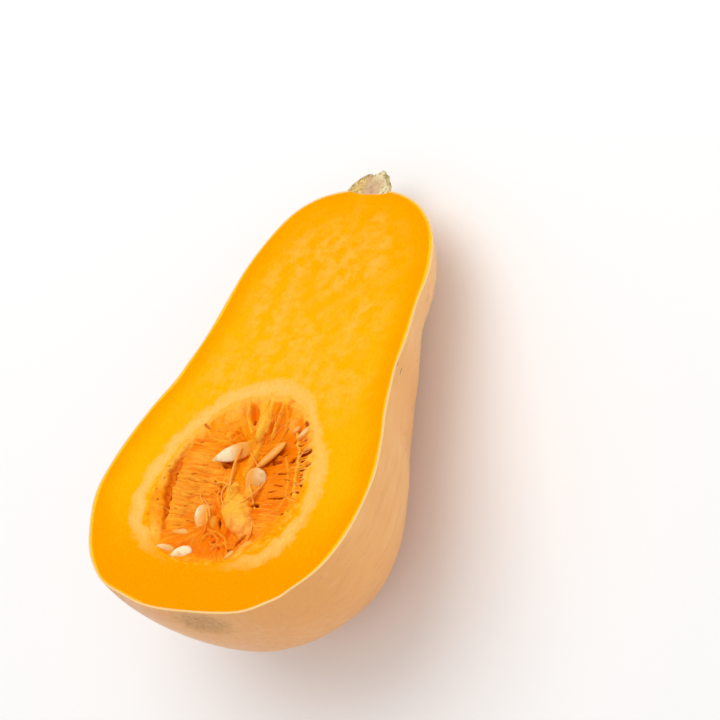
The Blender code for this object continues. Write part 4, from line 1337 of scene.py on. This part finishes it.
# Where the camera stands, in the squash's own frame in millimetres, and which way its picture lies
CAMERA_PLACE = Vector((-481.3, -772.4, 874.5))
CAMERA_RIGHT = Vector((0.3381, -0.8232, -0.4561))
CAMERA_UP = Vector((0.8156, 0.0146, 0.5784))
LENS = 154.76
SENSOR_WIDTH = 36.0
ROOM_STRENGTH = 0.72
LIT_POINT = Vector((0.03, 0.0, 0.04))
# Lights, as (name, direction in the picture: right, up, towards the camera, distance, size, power, colour)
LIGHTS = (
    ("key", (-0.75, 0.75, 0.75), 1.3, 1.3, 8.2, (1.0, 0.985, 0.96)),
    ("fill", (1.0, -0.3, 0.6), 1.5, 1.2, 6.6, (1.0, 0.99, 0.98)),
)


def add_floor():
    floor = bmesh.new()
    bmesh.ops.create_grid(floor, x_segments=1, y_segments=1, size=FLOOR_SIZE / 2)
    mesh = mesh_of("table_top", floor)
    mesh.materials.append(Surface("pale_table", Base_Color=FLOOR_COLOUR, Roughness=0.8).material)
    obj = put_in_scene("table_top", mesh)
    obj.location.z = -FLOOR_GAP


def add_camera():
    camera = put_in_scene("camera", bpy.data.cameras.new("camera"))
    turn = Matrix.Rotation(TILT, 3, "Y")
    right = (turn @ CAMERA_RIGHT).normalized()
    back = right.cross(turn @ CAMERA_UP).normalized()
    facing = Matrix((right, back.cross(right), back)).transposed()
    camera.matrix_world = Matrix.LocRotScale(LAID @ CAMERA_PLACE, facing, None)
    camera.data.lens = LENS
    camera.data.sensor_width = SENSOR_WIDTH
    camera.data.clip_start = 0.05
    bpy.context.scene.camera = camera
    return facing


def add_lights(facing):
    for name, direction, distance, size, power, colour in LIGHTS:
        light = bpy.data.lights.new(name, "AREA")
        light.shape = "DISK"
        light.size = size
        light.energy = power
        light.color = colour
        obj = put_in_scene(name, light)
        towards = (facing @ Vector(direction)).normalized()
        obj.location = LIT_POINT + towards * distance
        obj.rotation_euler = towards.to_track_quat("Z", "Y").to_euler()
    world = bpy.data.worlds.new("room")
    world.use_nodes = True
    background = world.node_tree.nodes["Background"].inputs
    background["Color"].default_value = (1.0, 1.0, 1.0, 1.0)
    background["Strength"].default_value = ROOM_STRENGTH
    bpy.context.scene.world = world
    bpy.context.scene.view_settings.view_transform = "Standard"


add_floor()
add_lights(add_camera())
